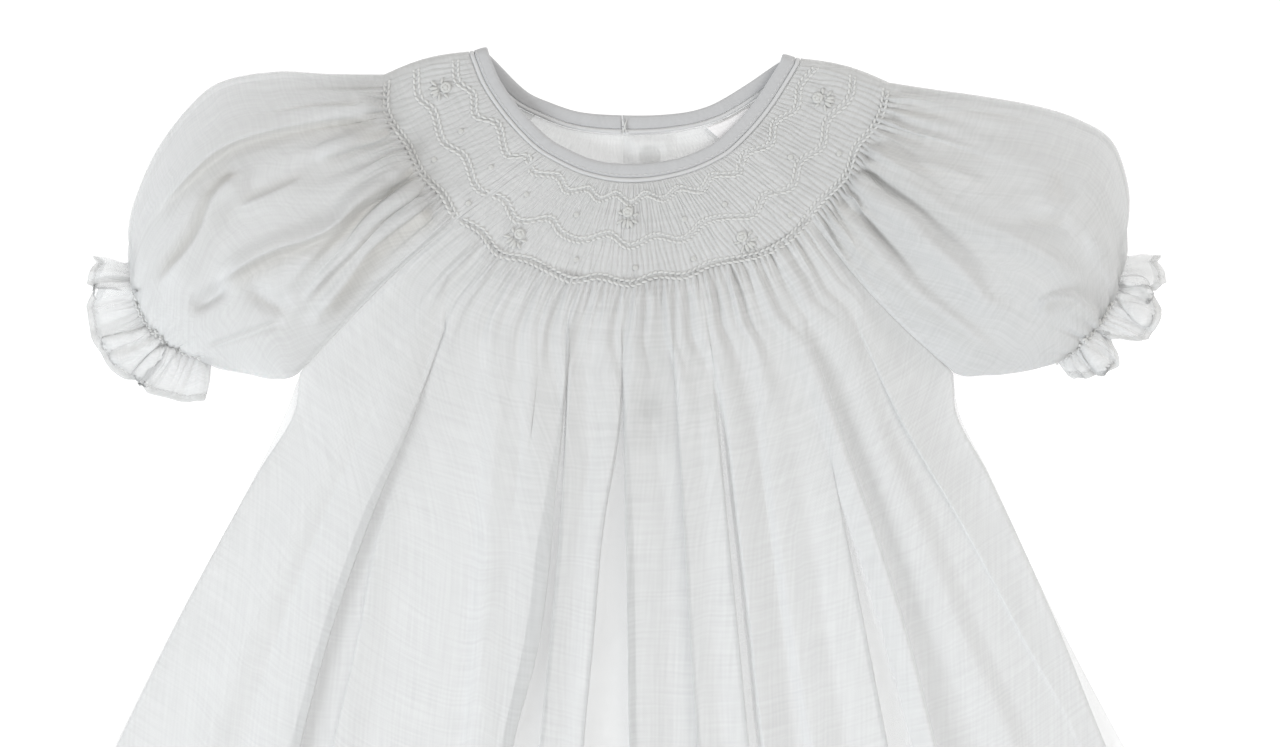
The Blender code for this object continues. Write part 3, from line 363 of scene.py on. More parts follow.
RIGHT_CREASES = (
    Crease("under the top", 0.8, 2.0, 5.0, 0.3, 4.0, 0.1, 0.35, (
        (96.6, 187.3), (109.0, 185.8), (125.0, 185.8), (138.4, 184.6), (151.7, 182.4),
    )),
    Crease("upper", -0.7, 4.0, 3.5, 0.15, 4.0, 0.3, 0.35, (
        (92.1, 182.4), (103.7, 177.1), (112.6, 174.9), (121.5, 171.3), (130.4, 168.2),
        (141.0, 164.2),
    )),
    Crease("upper ridge", 1.0, 2.0, 3.5, 0.25, 4.0, 0.1, 0.35, (
        (89.5, 175.3), (101.0, 167.3), (109.9, 165.5), (119.7, 162.9), (132.1, 158.0),
    )),
    Crease("long ridge", 1.8, 4.0, 3.0, 0.3, 5.0, 0.05, 0.3, (
        (86.4, 169.3), (93.0, 165.5), (100.1, 160.2), (109.0, 153.1), (116.1, 147.8),
        (126.8, 143.3), (138.4, 138.9), (148.2, 133.5), (157.0, 128.2), (168.6, 123.3),
    )),
    Crease("second ridge", 1.8, 3.0, 4.5, 0.0, 5.0, 0.05, 0.3, (
        (82.8, 162.9), (87.7, 155.8), (94.8, 151.3), (101.0, 146.9), (107.3, 138.9),
        (116.1, 130.9), (123.3, 122.9), (128.6, 116.6), (137.5, 113.1), (145.5, 111.3),
    )),
    Crease("between the ridges", -0.6, 3.5, 3.0, 0.25, 5.0, 0.25, 0.5, (
        (142.8, 114.9), (136.6, 121.5), (128.6, 129.5), (119.7, 137.1), (110.8, 144.2),
        (100.1, 152.2), (92.1, 158.4),
    )),
    Crease("by the yoke, deep", -0.5, 2.5, 2.5, 0.2, 3.5, 0.4, 0.3, (
        (105.5, 123.7), (98.4, 132.2), (92.1, 139.3), (86.8, 146.9), (83.1, 154.2),
    )),
    Crease("third ridge", 1.6, 3.0, 3.5, 0.35, 7.0, 0.06, 0.25, (
        (78.8, 155.8), (80.6, 150.4), (84.1, 143.8), (89.5, 135.3), (97.5, 126.4), (105.5, 118.4),
        (113.5, 112.6), (123.3, 105.1), (132.1, 98.0), (139.3, 92.6),
    )),
    Crease("arch", 1.6, 1.2, 3.0, 0.45, 7.0, 0.15, 0.15, (
        (145.9, 114.4), (151.7, 118.2), (158.8, 118.4), (163.3, 115.0), (167.3, 110.0),
    )),
    Crease("swirl", -0.8, 4.0, 4.0, 0.35, 6.0, 0.3, 0.3, (
        (159.7, 146.9), (153.5, 143.1), (145.5, 143.5), (139.3, 147.8),
    )),
    Crease("dome of the swirl", 1.0, 6.0, 6.0, 0.0, 4.0, 0.35, 0.35, (
        (146.4, 159.3), (149.9, 154.0), (151.7, 147.8),
    )),
    Crease("near the shoulder", -0.8, 5.0, 5.0, 0.25, 6.0, 0.35, 0.35, (
        (156.2, 166.4), (156.2, 159.3), (158.4, 152.2),
    )),
    Crease("low, by the seam", 1.0, 3.0, 2.0, 0.25, 4.0, 0.2, 0.25, (
        (71.7, 152.2), (78.8, 139.8), (88.6, 118.4), (97.5, 108.6), (103.7, 101.1), (112.6, 97.1),
        (120.6, 92.6),
    )),
    Crease("near the cuff", 1.0, 5.0, 4.0, 0.0, 5.0, 0.35, 0.35, (
        (162.4, 138.0), (167.7, 138.0), (173.9, 135.3),
    )),
    Crease("ruffle, upper edge", 1.6, 0.9, 3.0, 0.4, 3.0, 0.1, 0.01, (
        (178.4, 124.2), (183.7, 123.7), (189.9, 120.2),
    )),
    Crease("ruffle, middle", 0.9, 2.0, 0.9, 0.3, 3.0, 0.1, 0.01, (
        (177.0, 119.3), (181.9, 114.9), (187.3, 109.5),
    )),
    Crease("ruffle, lower edge", 1.6, 3.0, 0.9, 0.35, 3.0, 0.1, 0.01, (
        (163.3, 104.2), (167.7, 98.0), (172.2, 92.6),
    )),
)

# How finely the cloth is divided
SMOCK_ROWS = 44
SKIRT_ROWS = 112
SLEEVE_SEAM_COLUMNS = 14
SLEEVE_UPPER_COLUMNS = 202
SLEEVE_FOLD_COLUMNS = 20
SLEEVE_UNDER_COLUMNS = 36
UNDER_SEAM_COLUMNS = 5
PUFF_ROWS = 92
RUFFLE_ROWS = 24
BACK_SMOCK_ROWS = 36
BACK_SKIRT_ROWS = 60
BACK_COLUMNS = 180

# Colours
BATISTE_COLOUR = (0.80, 0.81, 0.815)
FOLD_SHADE_COLOUR = (0.69, 0.685, 0.665)  # painted shade: the batiste's colour is darkened towards it where many layers lie
BIAS_COLOUR = (0.55, 0.555, 0.565)
PIPING_COLOUR = (0.66, 0.665, 0.67)
THREAD_COLOUR = (0.68, 0.685, 0.68)
FLOSS_COLOUR = (0.70, 0.705, 0.695)
BULLION_COLOUR = (0.63, 0.635, 0.62)
SATIN_COLOUR = (0.93, 0.92, 0.93)
PEARL_DARK, PEARL_LIGHT = (0.82, 0.81, 0.78, 1), (0.93, 0.93, 0.92, 1)

# The picture, in metres
FLOOR_SIZE = 6.0
FLOOR_DROP = 0.0002
FLOOR_GLOW = 0.74
ROOM_COLOUR = (1.0, 0.985, 0.97, 1)
ROOM_LIGHT = 0.45
PICTURE_WIDTH = 0.4672
PICTURE_CENTRE = (0.0044, 0.0911)
LIT_SPOT = Vector((0, 0.05, 0))
LENS, SENSOR = 100.0, 36.0


# Curves and small helpers, on whole arrays

def mix(a, b, share):
    return a + (b - a) * share


def ease(share):
    share = np.clip(share, 0.0, 1.0)
    return share * share * (3 - 2 * share)


def unit(vectors):
    return vectors / np.linalg.norm(vectors, axis=-1, keepdims=True)


def along_knots(knots, values, at):
    """Smooth values at places between knots, for numbers or points."""
    knots, values, at = np.asarray(knots, float), np.asarray(values, float), np.asarray(at, float)
    last = len(knots) - 1
    i = np.clip(np.searchsorted(knots, at, side="right") - 1, 0, last - 1)
    before, after = np.maximum(i - 1, 0), np.minimum(i + 2, last)
    span = knots[i + 1] - knots[i]
    u = (at - knots[i]) / span
    lead = span / (knots[i + 1] - knots[before])
    trail = span / (knots[after] - knots[i])
    if values.ndim > 1:
        u, lead, trail = u[..., None], lead[..., None], trail[..., None]
    slope_a = (values[i + 1] - values[before]) * lead
    slope_b = (values[after] - values[i]) * trail
    return (
        values[i] * (2 * u ** 3 - 3 * u ** 2 + 1)
        + slope_a * (u ** 3 - 2 * u ** 2 + u)
        + values[i + 1] * (3 * u ** 2 - 2 * u ** 3)
        + slope_b * (u ** 3 - u ** 2)
    )


def lengths_along(points, axis):
    """Distance of each point of a line or grid from the first, along one axis."""
    steps = np.linalg.norm(np.diff(points, axis=axis), axis=-1)
    first = np.zeros_like(np.take(steps, [0], axis=axis))
    return np.concatenate((first, np.cumsum(steps, axis=axis)), axis=axis)


def side_distance(points):
    """How far each point of a grid is from the nearer end of its row."""
    from_end = lengths_along(points[:, ::-1], 1)[:, ::-1]
    return np.minimum(lengths_along(points, 1), from_end)


def hem_distance(points):
    """How far each point of a grid is from the lower end of its column."""
    return lengths_along(points[::-1], 0)[::-1]


def hold_ends(values, share, rate):
    """Values that fall to 0 at both ends of an edge."""
    return values * ease(rate * share) * ease(rate * (1 - share))


def chord_knots(points):
    knots = lengths_along(points, 0)
    return knots / knots[-1]


class Path:
    def __init__(self, points):
        self.points = np.array(points, float)
        self.knots = chord_knots(self.points)

    def at(self, share):
        return along_knots(self.knots, self.points, share)


class Yoke:
    """Neck and yoke edges with the pleat lines between them."""

    def __init__(self, spokes):
        self.necks = np.array([(s.neck_x, s.neck_y) for s in spokes])
        self.edges = np.array([(s.yoke_x, s.yoke_y) for s in spokes])
        self.knots = chord_knots(self.edges)

    def at(self, place, depth):
        place, depth = np.broadcast_arrays(place, depth)
        neck = along_knots(self.knots, self.necks, place)
        return mix(neck, along_knots(self.knots, self.edges, place), depth[..., None])

    def to_neck(self, place):
        return unit(self.at(place, 0.0) - self.at(place, 1.0))


FRONT_YOKE = Yoke(FRONT_SPOKES)
BACK_YOKE = Yoke(BACK_SPOKES)


class Seam:
    """Left or right edge of the front or back below the yoke."""

    def __init__(self, raglan, side):
        self.raglan, self.side = Path(raglan), Path(side)

    def at(self, share):
        upper = self.raglan.at(share / UNDERARM_SHARE)
        lower = self.side.at((share - UNDERARM_SHARE) / (1 - UNDERARM_SHARE))
        return np.where((share < UNDERARM_SHARE)[..., None], upper, lower)


class Panel:
    """Plan of the front or the back. Rows from -1 to 0 are smocking, from 0 to 1 skirt."""

    def __init__(self, yoke, first, last, left, right, sag):
        self.yoke, self.left, self.right, self.sag = yoke, left, right, sag
        self.start, self.stop = yoke.knots[first], yoke.knots[last]

    def hem(self, across):
        corners = [side.at(np.ones_like(across)) for side in (self.left, self.right)]
        point = mix(*corners, across[..., None])
        point[..., 1] -= self.sag * 4 * across * (1 - across)
        return point

    def smocked(self, depth, across):
        return self.yoke.at(mix(self.start, self.stop, across), depth)

    def at(self, row, across):
        row, across = np.broadcast_arrays(np.asarray(row, float), np.asarray(across, float))
        share = np.maximum(row, 0.0)
        edge = self.smocked(1.0, across)
        straight = mix(edge, self.hem(across), share[..., None])
        for side, end, weight in ((self.left, 0.0, 1 - across), (self.right, 1.0, across)):
            still = np.full_like(across, end)
            line = mix(self.smocked(1.0, still), self.hem(still), share[..., None])
            straight = straight + (side.at(share) - line) * (weight ** 2)[..., None]
        return np.where((row < 0)[..., None], self.smocked(np.minimum(row + 1, 1), across), straight)


FRONT = Panel(
    FRONT_YOKE, LEFT_RAGLAN, RIGHT_RAGLAN,
    Seam(LEFT_FRONT_RAGLAN, LEFT_FRONT_SIDE),
    Seam(RIGHT_FRONT_RAGLAN, RIGHT_FRONT_SIDE), HEM_SAG_FRONT,
)
BACK = Panel(
    BACK_YOKE, LEFT_BACK_SEAM, RIGHT_BACK_SEAM,
    Seam(LEFT_BACK_RAGLAN, LEFT_BACK_SIDE),
    Seam(RIGHT_BACK_RAGLAN, RIGHT_BACK_SIDE), HEM_SAG_BACK,
)


# Meshes

def deselect_all():
    for other in bpy.context.view_layer.objects:
        other.select_set(False)


def select_only(thing):
    deselect_all()
    thing.select_set(True)
    bpy.context.view_layer.objects.active = thing


def link_new(name, data):
    thing = bpy.data.objects.new(name, data)
    bpy.context.collection.objects.link(thing)
    return thing


def corner_vertices(mesh):
    """Number of the vertex at each corner of each face."""
    corner = np.empty(len(mesh.loops), int)
    mesh.loops.foreach_get("vertex_index", corner)
    return corner


def add_cloth(name, points, material, layers=None, faces_up=True, shell=SHELL):
    """A sheet of cloth from rows of points: rows run down the dress, columns across it."""
    rows, columns = points.shape[:2]
    deselect_all()
    bpy.ops.mesh.primitive_grid_add(x_subdivisions=columns - 1, y_subdivisions=rows - 1, size=1)
    cloth = bpy.context.object
    cloth.name = cloth.data.name = name
    mesh = cloth.data
    place = np.empty(len(mesh.vertices) * 3)
    mesh.vertices.foreach_get("co", place)
    place = place.reshape(-1, 3)
    column = np.rint((place[:, 0] + 0.5) * (columns - 1)).astype(int)
    row = np.rint((0.5 - place[:, 1]) * (rows - 1)).astype(int)
    mesh.vertices.foreach_set("co", (points[row, column] * MM).ravel())

    down, across = lengths_along(points, 0), lengths_along(points, 1)
    across = across - across[:, -1:] / 2
    corner = corner_vertices(mesh)
    woven = np.stack((across[row, column][corner], -down[row, column][corner]), axis=-1) * MM
    mesh.uv_layers[0].name = "cloth"
    mesh.uv_layers[0].data.foreach_set("uv", woven.ravel())
    if layers is None:
        layers = np.ones((rows, columns))
    attribute = mesh.attributes.new("layers", "FLOAT", "POINT")
    attribute.data.foreach_set("value", layers[row, column].astype(np.float32))

    select_only(cloth)
    middle = mesh.polygons[len(mesh.polygons) // 2]
    if (middle.normal.z > 0) != faces_up:
        mesh.flip_normals()
    wall = cloth.modifiers.new("shell", "SOLIDIFY")
    wall.thickness = shell * MM
    wall.offset = -1
    bpy.ops.object.modifier_apply(modifier=wall.name)
    bpy.ops.object.shade_smooth()
    cloth.data.materials.clear()
    cloth.data.materials.append(material)
    return cloth


def add_copies(name, form, faces, spots, material):
    """One mesh of many small things. A spot is (centre, along, up, length, width, height)."""
    points = []
    polygons = []
    for centre, along, up, length, width, height in spots:
        across = np.cross(up, along)
        axes = np.stack((along * length, across * width, up * height))
        start = len(points) * len(form)
        points.append(centre + form @ axes)
        polygons += [tuple(start + i for i in face) for face in faces]
    mesh = bpy.data.meshes.new(name)
    mesh.from_pydata(np.concatenate(points) * MM, [], polygons)
    mesh.shade_smooth()
    mesh.materials.append(material)
    return link_new(name, mesh)


def bead_form(segments, rings):
    """Points and faces of a unit bead, made with the sphere tool. The tool gives its faces
    in a new order on each run, so they are sorted."""
    deselect_all()
    bpy.ops.mesh.primitive_uv_sphere_add(segments=segments, ring_count=rings, radius=0.5)
    ball = bpy.context.object
    points = np.array([v.co for v in ball.data.vertices])
    points = points[:, (2, 0, 1)]
    faces = sorted(tuple(p.vertices) for p in ball.data.polygons)
    bpy.data.objects.remove(ball)
    return points, faces


def normals_of(points, outward_up):
    """Outward directions of a grid of points, whose columns run to the right or to the left."""
    across = np.gradient(points, axis=1)
    down = np.gradient(points, axis=0)
    normal = np.cross(across, -down)
    normal = unit(normal + 1e-12 * UP)
    return normal if outward_up else -normal


def read_grid(points, row, column):
    """A point between the grid's points."""
    row = float(np.clip(row, 0, points.shape[0] - 1.001))
    column = float(np.clip(column, 0, points.shape[1] - 1.001))
    r, c = int(row), int(column)
    u, v = row - r, column - c
    top = mix(points[r, c], points[r, c + 1], v)
    low = mix(points[r + 1, c], points[r + 1, c + 1], v)
    return mix(top, low, u)


# Smocking

def cable_depth(cable, place):
    places, depths = zip(*cable)
    return along_knots(places, depths, place)


def pressed(depth, place):
    """1 on a cable row, 0 away from it."""
    nearness = [np.exp(-((depth - cable_depth(c, place)) / CABLE_REACH) ** 2) for c in CABLES]
    return np.max(nearness, axis=0)


def ridge(phase):
    """A pleat from valley to valley, with a rounded top."""
    return 1 - np.abs(2 * (phase % 1.0) - 1) ** 2.2


def wander(phase, depth, seed):
    """Pleats of the smocking that lean a little, each in its own way, between the cables."""
    pleats = int(np.max(phase)) + 3
    lean = np.interp(phase, np.arange(pleats), wobble(pleats, seed, 0.30))
    bend = np.interp(phase, np.arange(pleats), wobble(pleats, seed + 1, 0.22))
    return phase + lean * np.sin(7.5 * depth) + bend * np.sin(15 * depth + 1)


def wobble(count, seed, reach):
    """Uneven values along a line of pleats, the same each time."""
    return np.random.default_rng(seed).uniform(-reach, reach, count)


def gathers(phase, below, seed):
    """Pleats let go below the smocking: each dies away in its own length and joins others.

    Gives their height and how many layers of cloth the valleys between them add, which also
    darken the valleys as painted shade."""
    pleats = int(np.max(phase)) + 2
    index = np.clip(phase.astype(int), 0, pleats - 1)
    lengths = GATHER_LENGTH + wobble(pleats, seed, GATHER_LENGTH_SPREAD)
    heights = 1 + wobble(pleats, seed + 1, 0.35)
    drift = np.interp(phase, np.arange(pleats), wobble(pleats, seed + 3, 0.3))
    shape = ridge(phase + drift * ease(below / 12))
    fade = 1 - ease(below / lengths[index])
    single = shape * heights[index] * fade * GATHER_HEIGHTS[0]
    shifted = np.cumsum(1 + wobble(pleats, seed + 2, 0.45))
    slow = np.interp(phase, np.arange(pleats), shifted)
    wide = (0.5 + 0.5 * np.cos(2 * math.pi * slow / WIDE_GATHER_PLEATS)) ** 0.7
    wide_fade = ease(below / 6) * (1 - ease((below - 8) / 40))
    broad = 0.5 + 0.5 * np.cos(2 * math.pi * slow / BROAD_GATHER_PLEATS + seed)
    broad_fade = ease(below / 14) * (1 - ease((below - 30) / 80))
    height = single + wide * wide_fade * GATHER_HEIGHTS[1] + broad * broad_fade * GATHER_HEIGHTS[2]
    layers = (
        GATHER_LAYERS[0] * (1 - shape) * fade
        + GATHER_LAYERS[1] * (1 - wide) ** 2 * wide_fade
        + GATHER_LAYERS[2] * (1 - broad) ** 2 * broad_fade
    )
    return height, layers


def smocked_rise(phase, depth, place, seed):
    """Height of the pleats of the smocking, pressed down under the cables and by the neck."""
    held = 1 - PLEAT_PINCH * pressed(depth, place)
    return PLEAT_RISE * ridge(wander(phase, depth, seed)) * held * (0.35 + 0.65 * ease(depth / 0.07))


# Front

def fold_lines(y):
    """Where the edge of each fold runs at the heights y."""
    levels = [-level for level in FOLD_LEVELS]
    clamped = np.clip(-y, levels[0], levels[-1])
    return [along_knots(levels, fold[1:7], clamped) for fold in FOLDS]


def grown_folds(y, share, rate):
    """Each fold with its edge, how far it has grown and the side to which it leans."""
    for fold, edge in zip(FOLDS, fold_lines(y)):
        yield fold, edge, ease((share - fold.start) / rate), math.copysign(1, fold.lean)


def fold_form(x, y, share):
    """Height of the folds, how far they lean over, and where the cloth needs more columns."""
    height = np.zeros_like(x)
    shift = np.zeros_like(x)
    dense = np.zeros_like(x)
    for fold, edge, grown, side in grown_folds(y, share, 0.3):
        size = 0.55 + 0.45 * grown
        lean = fold.lean * grown
        away = (x - (edge - lean)) * side
        gentle, steep = fold.gentle * size, fold.steep * size
        inside = np.where(away < 0, 1 + away / gentle, 1 - away / steep)
        reach = np.where(away < 0, 1 + away / (0.7 * gentle), 1 - away / steep)
        height = np.maximum(height, fold.height * grown * ease(inside))
        shift += lean * ease(reach)
        at_edge = np.exp(-((away - steep / 2) / (0.9 * steep + 0.6)) ** 2)
        dense += grown * (2.5 * at_edge + ease(inside))
    return height, shift, dense


def seam_height(share):
    return mix(YOKE_TOP, UNDERARM_TOP, ease(share))


def front_height(row, across):
    share = np.maximum(row, 0.0)
    inward = ease(np.minimum(across, 1 - across) / 0.09)
    edge = np.where(
        share > UNDERARM_SHARE,
        mix(UNDERARM_TOP, SIDE_TOP, ease((share - UNDERARM_SHARE) / 0.1)),
        seam_height(share / UNDERARM_SHARE),
    )
    middle = mix(YOKE_TOP, SKIRT_TOP, ease((share - 0.22) / 0.25))
    return np.where(row < 0, YOKE_TOP, mix(edge, middle, inward)), inward


def skirt_shares(count):
    """Rows of the skirt, closer together near the yoke."""
    t = np.arange(1, count + 1) / count
    return 0.45 * t + 0.55 * t ** 2


def front_cloth(rows, columns):
    """Points and layers of the front, for rows of the smocking (below 0) or of the skirt."""
    rows = rows[:, None]
    fine = np.linspace(0, 1, 1201)[None, :]
    share = np.maximum(rows, 0.0)

    plan = FRONT.at(rows, fine)
    dense = 1 + 1.1 * fold_form(plan[..., 0], plan[..., 1], share)[2] * (rows > 0)
    total = np.cumsum(dense, axis=1)
    total = (total - total[:, :1]) / (total[:, -1:] - total[:, :1])
    even = np.linspace(0, 1, columns + 1)
    across = np.array([np.interp(even, line, fine[0]) for line in total])

    plan = FRONT.at(rows, across)
    x, y = plan[..., 0], plan[..., 1]
    base, inward = front_height(rows, across)
    height, shift, _ = fold_form(x, y, share)
    points = np.stack((x + shift * inward, y, base + height * inward), axis=-1)

    place = mix(FRONT.start, FRONT.stop, across)
    phase = np.broadcast_to(even * FRONT_PLEATS, x.shape)
    depth = np.broadcast_to(rows + 1, x.shape)
    rise = smocked_rise(phase, depth, place, 81)
    below = np.maximum(lengths_along(points, 0) * (rows > 0), 0)
    loose, stacked = gathers(phase, below, 11)
    loose = loose * ease(np.minimum(across, 1 - across) / 0.015) * (0.4 + 0.6 * inward)
    rise = np.where(rows < 0, rise, np.maximum(loose, rise * (1 - ease(below / 3))))
    pair = np.where(phase.astype(int) % 2 == 0, 1.0, -1.0)
    turn = np.cos(math.pi * np.clip((depth - 0.155) / 0.43, 0, 1.93))
    pinch = np.where(rows < 0, 0.16 * pair * turn * ridge(phase), 0.0)
    sideways = unit(np.gradient(points, axis=1))
    points = points + normals_of(points, True) * rise[..., None] + sideways * pinch[..., None]

    full = FRONT_LAYERS + 0.8 * np.exp(-below / 60) + 1.3 * stacked
    full = full + fold_layers(x, y, share) * inward
    side_seam = ease(2 - side_distance(points) / 2) * ease((share - 0.18) / 0.1)
    full = full + SIDE_SEAM_LAYERS * side_seam
    full = full + 0.6 * ease((across - 0.5) / 0.4) * np.exp(-below / 80)
    full = mix(full, TROUGH_LAYERS, trough_floor(x, y, share)) + FRONT_HEM_LAYERS * (share > 0.93)
    return points, np.where(rows < 0, YOKE_LAYERS, full)


def trough_floor(x, y, share):
    """1 on the floor of the open troughs, from the foot of one fold to the foot of the next."""
    feet = []
    for fold, edge, grown, side in grown_folds(y, share, 0.3):
        crest = edge - fold.lean * grown
        before, after = 0.6 * fold.gentle, fold.steep
        if side < 0:
            before, after = fold.steep, 0.6 * fold.gentle
        size = 0.55 + 0.45 * grown
        feet.append((crest - before * size, crest + after * size, ease(3 * grown)))
    floor = np.zeros_like(x)
    for left, right in TROUGHS:
        _, start, left_grown = feet[left]
        end, _, right_grown = feet[right]
        inside = ease((x - start) / 0.8) * ease((end - x) / 0.8)
        floor = np.maximum(floor, inside * left_grown * right_grown)
    return floor


def fold_layers(x, y, share):
    """Cloth that lies folded under, beside each fold's edge; its layers also paint shade there."""
    layers = np.zeros_like(x)
    for fold, edge, grown, side in grown_folds(y, share, 0.12):
        away = (x - edge + fold.lean * 0.5) * side
        band = 2.0 + 1.5 * abs(fold.lean)
        under = np.where(away < 0, ease(1 + away / band), 0.0)
        layers += grown * (0.1 + abs(fold.lean) / 9) * under
    return layers


# Sleeves

def crease_relief(x, y, creases):
    """Height of the creases, and the layers that folded cloth adds beside them, which darken
    the colour there as painted shade.
    """
    height, layers = np.zeros_like(x), np.zeros_like(x)
    spot = np.stack((x, y), axis=-1)
    for crease in creases:
        path = Path(crease.points)
        line = path.at(np.linspace(0, 1, 33))
        reach = 3 * max(crease.left, crease.right, crease.reach)
        low, high = line.min(axis=0) - reach, line.max(axis=0) + reach
        near = np.all((spot > low) & (spot < high), axis=-1)
        if not near.any():
            continue
        start, step = line[:-1], np.diff(line, axis=0)
        offset = spot[near][:, None] - start
        along = np.sum(offset * step, axis=-1) / np.sum(step * step, axis=-1)
        along = np.clip(along, 0, 1)
        gap = offset - along[..., None] * step
        distance = np.linalg.norm(gap, axis=-1)
        nearest = np.argmin(distance, axis=1)
        pick = np.arange(len(nearest))
        distance = distance[pick, nearest]
        share = (nearest + along[pick, nearest]) / len(step)
        turn = step[nearest, 0] * gap[pick, nearest, 1] - step[nearest, 1] * gap[pick, nearest, 0]
        on_right = turn < 0
        taper = ease(share / crease.fade_in) * ease((1 - share) / crease.fade_out)
        width = np.where(on_right, crease.right, crease.left)
        height[near] += CREASE_DEPTH * crease.rise * taper * np.exp(-((distance / width) ** 2))
        band = ease(distance / 1.3) * ease(1.15 - distance / crease.reach)
        layers[near] += crease.folded * taper * np.where(on_right, band, 0.0)
    return height, layers


class Sleeve:
    """One sleeve: its sections run over the top fold from its front edge to its back edge."""

    def __init__(self, sections, creases, raglan_place, back_place, front_raglan, back_raglan):
        self.side = math.copysign(1, sections[0].fold_x)
        self.creases = creases
        self.notches = LEFT_NOTCHES if self.side < 0 else RIGHT_NOTCHES
        self.fullness = LEFT_SLEEVE_LAYERS if self.side < 0 else RIGHT_SLEEVE_LAYERS
        self.flutes = (0.0, *(place for place, _, _ in self.notches), 1.0)
        self.gap = np.array((self.side * SHOWN_SEAM, 0.0))
        self.shares = [s.share for s in sections]
        self.seams = np.array([(s.seam_x, s.seam_y) for s in sections])
        self.folds = np.array([(s.fold_x, s.fold_y) for s in sections])
        self.form = np.array([(s.puff, s.bow, s.ruffle) for s in sections])
        self.shoulder = 0.0 if self.side < 0 else 1.0
        self.raglan_place, self.back_place = raglan_place, back_place
        self.raglan = {False: front_raglan, True: back_raglan}
        neck, edge = FRONT_YOKE.at(self.shoulder, 0.0), FRONT_YOKE.at(self.shoulder, 1.0)
        along = unit(edge - neck)
        self.shoulder_out = np.array((along[1] * -self.side, along[0] * self.side))

    def place(self, side_share, back):
        return mix(self.back_place if back else self.raglan_place, self.shoulder, side_share)

    def smocked(self, depth, side_share, back):
        yoke = BACK_YOKE if back else FRONT_YOKE
        point = yoke.at(self.place(side_share, back), depth)
        side_share = np.broadcast_to(side_share, point.shape[:-1])
        bulge = SHOULDER_BULGE * np.sin(math.pi * np.clip(depth, 0, 1))
        bulge = bulge * ease((side_share - 0.55) / 0.45)
        point = point + self.gap * (1 - side_share)[..., None]
        return point + self.shoulder_out * bulge[..., None]

    def seam(self, row, back):
        upper = self.raglan[back].at(row / UNDERARM_SECTION)
        lower = along_knots(self.shares, self.seams, row)
        return np.where((row < UNDERARM_SECTION)[..., None], upper, lower) + self.gap

    def out(self, row):
        """Direction from the seam to the top fold, where the cloth turns over."""
        chord = along_knots(self.shares, self.folds, row) - along_knots(self.shares, self.seams, row)
        turned = unit(mix(self.shoulder_out, unit(chord), ease(row / 0.15)[..., None]))
        return np.where((row <= 0)[..., None], self.shoulder_out, turned)

    def plan(self, row, side_share, back):
        row, side_share = np.broadcast_arrays(np.asarray(row, float), np.asarray(side_share, float))
        low = np.maximum(row, 0.0)
        seam = self.seam(low, back)
        rounded = np.mean([self.seam(np.clip(low + d, 0, 1), back) for d in CORNER_STEPS], axis=0)
        soft = ease(side_share / 0.3) * ease(low / 0.2) * ease((CUFF - low) / 0.1)
        seam = mix(seam, rounded, soft[..., None])
        fold = along_knots(self.shares, self.folds, low) - self.out(low) * FOLD_RADIUS
        bow = along_knots(self.shares, self.form, low)[..., 1]
        chord = unit(fold - seam)
        outward = np.stack((chord[..., 1], -chord[..., 0]), axis=-1) * self.side
        belly = (bow * 4 * side_share * (1 - side_share))[..., None]
        straight = mix(seam, fold, side_share[..., None]) + outward * belly
        straight = straight + self.ruffle_edge(row, side_share)
        ends = [self.smocked(1.0, np.full_like(side_share, end), back) for end in (0.0, 1.0)]
        curve = self.smocked(1.0, side_share, back) - mix(*ends, side_share[..., None])
        straight = straight + curve * (1 - ease(low / UNDERARM_SECTION))[..., None]
        smocked = self.smocked(np.minimum(row + 1, 1.0), side_share, back)
        return np.where((row < 0)[..., None], smocked, straight)

    def tube(self, row):
        """0 where the sleeve is open at its seams, 1 where it has closed to a tube."""
        return ease((row - UNDERARM_SECTION + 0.03) / 0.05)

    def puff(self, row, side_share):
        low = np.maximum(row, 0.0)
        form = along_knots(self.shares, self.form, low)
        puff, ruffle = form[..., 0], form[..., 2]
        crown = np.maximum(4 * side_share * (1 - side_share), 0) ** 0.9
        seam = mix(seam_height(low / UNDERARM_SECTION), YOKE_TOP, ease((low - 0.33) / 0.16))
        base = mix(seam, YOKE_TOP, ease(side_share / 0.3))
        wave = RUFFLE_RISE * np.sin(2 * math.pi * RUFFLE_WAVES * side_share)
        wave = hold_ends(wave, side_share, 6)
        wave = ruffle * (wave + FLUTE_RISE * (self.flute(side_share) - 0.6))
        return np.where(row < 0, YOKE_TOP, base + puff * crown + wave)

    def flute(self, side_share):
        """0 between the flutes of the ruffle, 1 in the middle of each."""
        count = np.interp(side_share, self.flutes, np.arange(len(self.flutes)))
        return np.abs(np.sin(math.pi * count)) ** 0.4

    def ruffle_edge(self, row, side_share):
        """How far the ruffle's edge moves out or in, with its notches and rounded corners."""
        ruffle = along_knots(self.shares, self.form, np.maximum(row, 0))[..., 2]
        chord = self.folds[-1] - self.seams[-1]
        outward = unit(np.array((chord[1], -chord[0]))) * self.side
        wave = RUFFLE_SCALLOP * np.sin(2 * math.pi * RUFFLE_WAVES * side_share)
        wave = hold_ends(wave, side_share, 6)
        for place, half_width, depth in self.notches:
            wave = wave - depth * np.maximum(1 - np.abs(side_share - place) / half_width, 0) ** 1.3
        corner = np.maximum(1 - np.minimum(side_share, 1 - side_share) / 0.08, 0) ** 1.6
        ends = [unit(edge[-1] - edge[-3]) for edge in (self.seams, self.folds)]
        back = mix(*ends, side_share[..., None]) * RUFFLE_CORNER
        return outward * (ruffle * wave)[..., None] - back * (ruffle * corner)[..., None]

    def across(self, rows, back):
        """Directions in from the seam, and widths from the seam to the top fold."""
        seam = self.plan(rows, 0.0, back)
        inward = flat_vector(unit(self.plan(rows, 0.02, back) - seam))
        return inward, np.linalg.norm(self.plan(rows, 1.0, back) - seam, axis=-1)

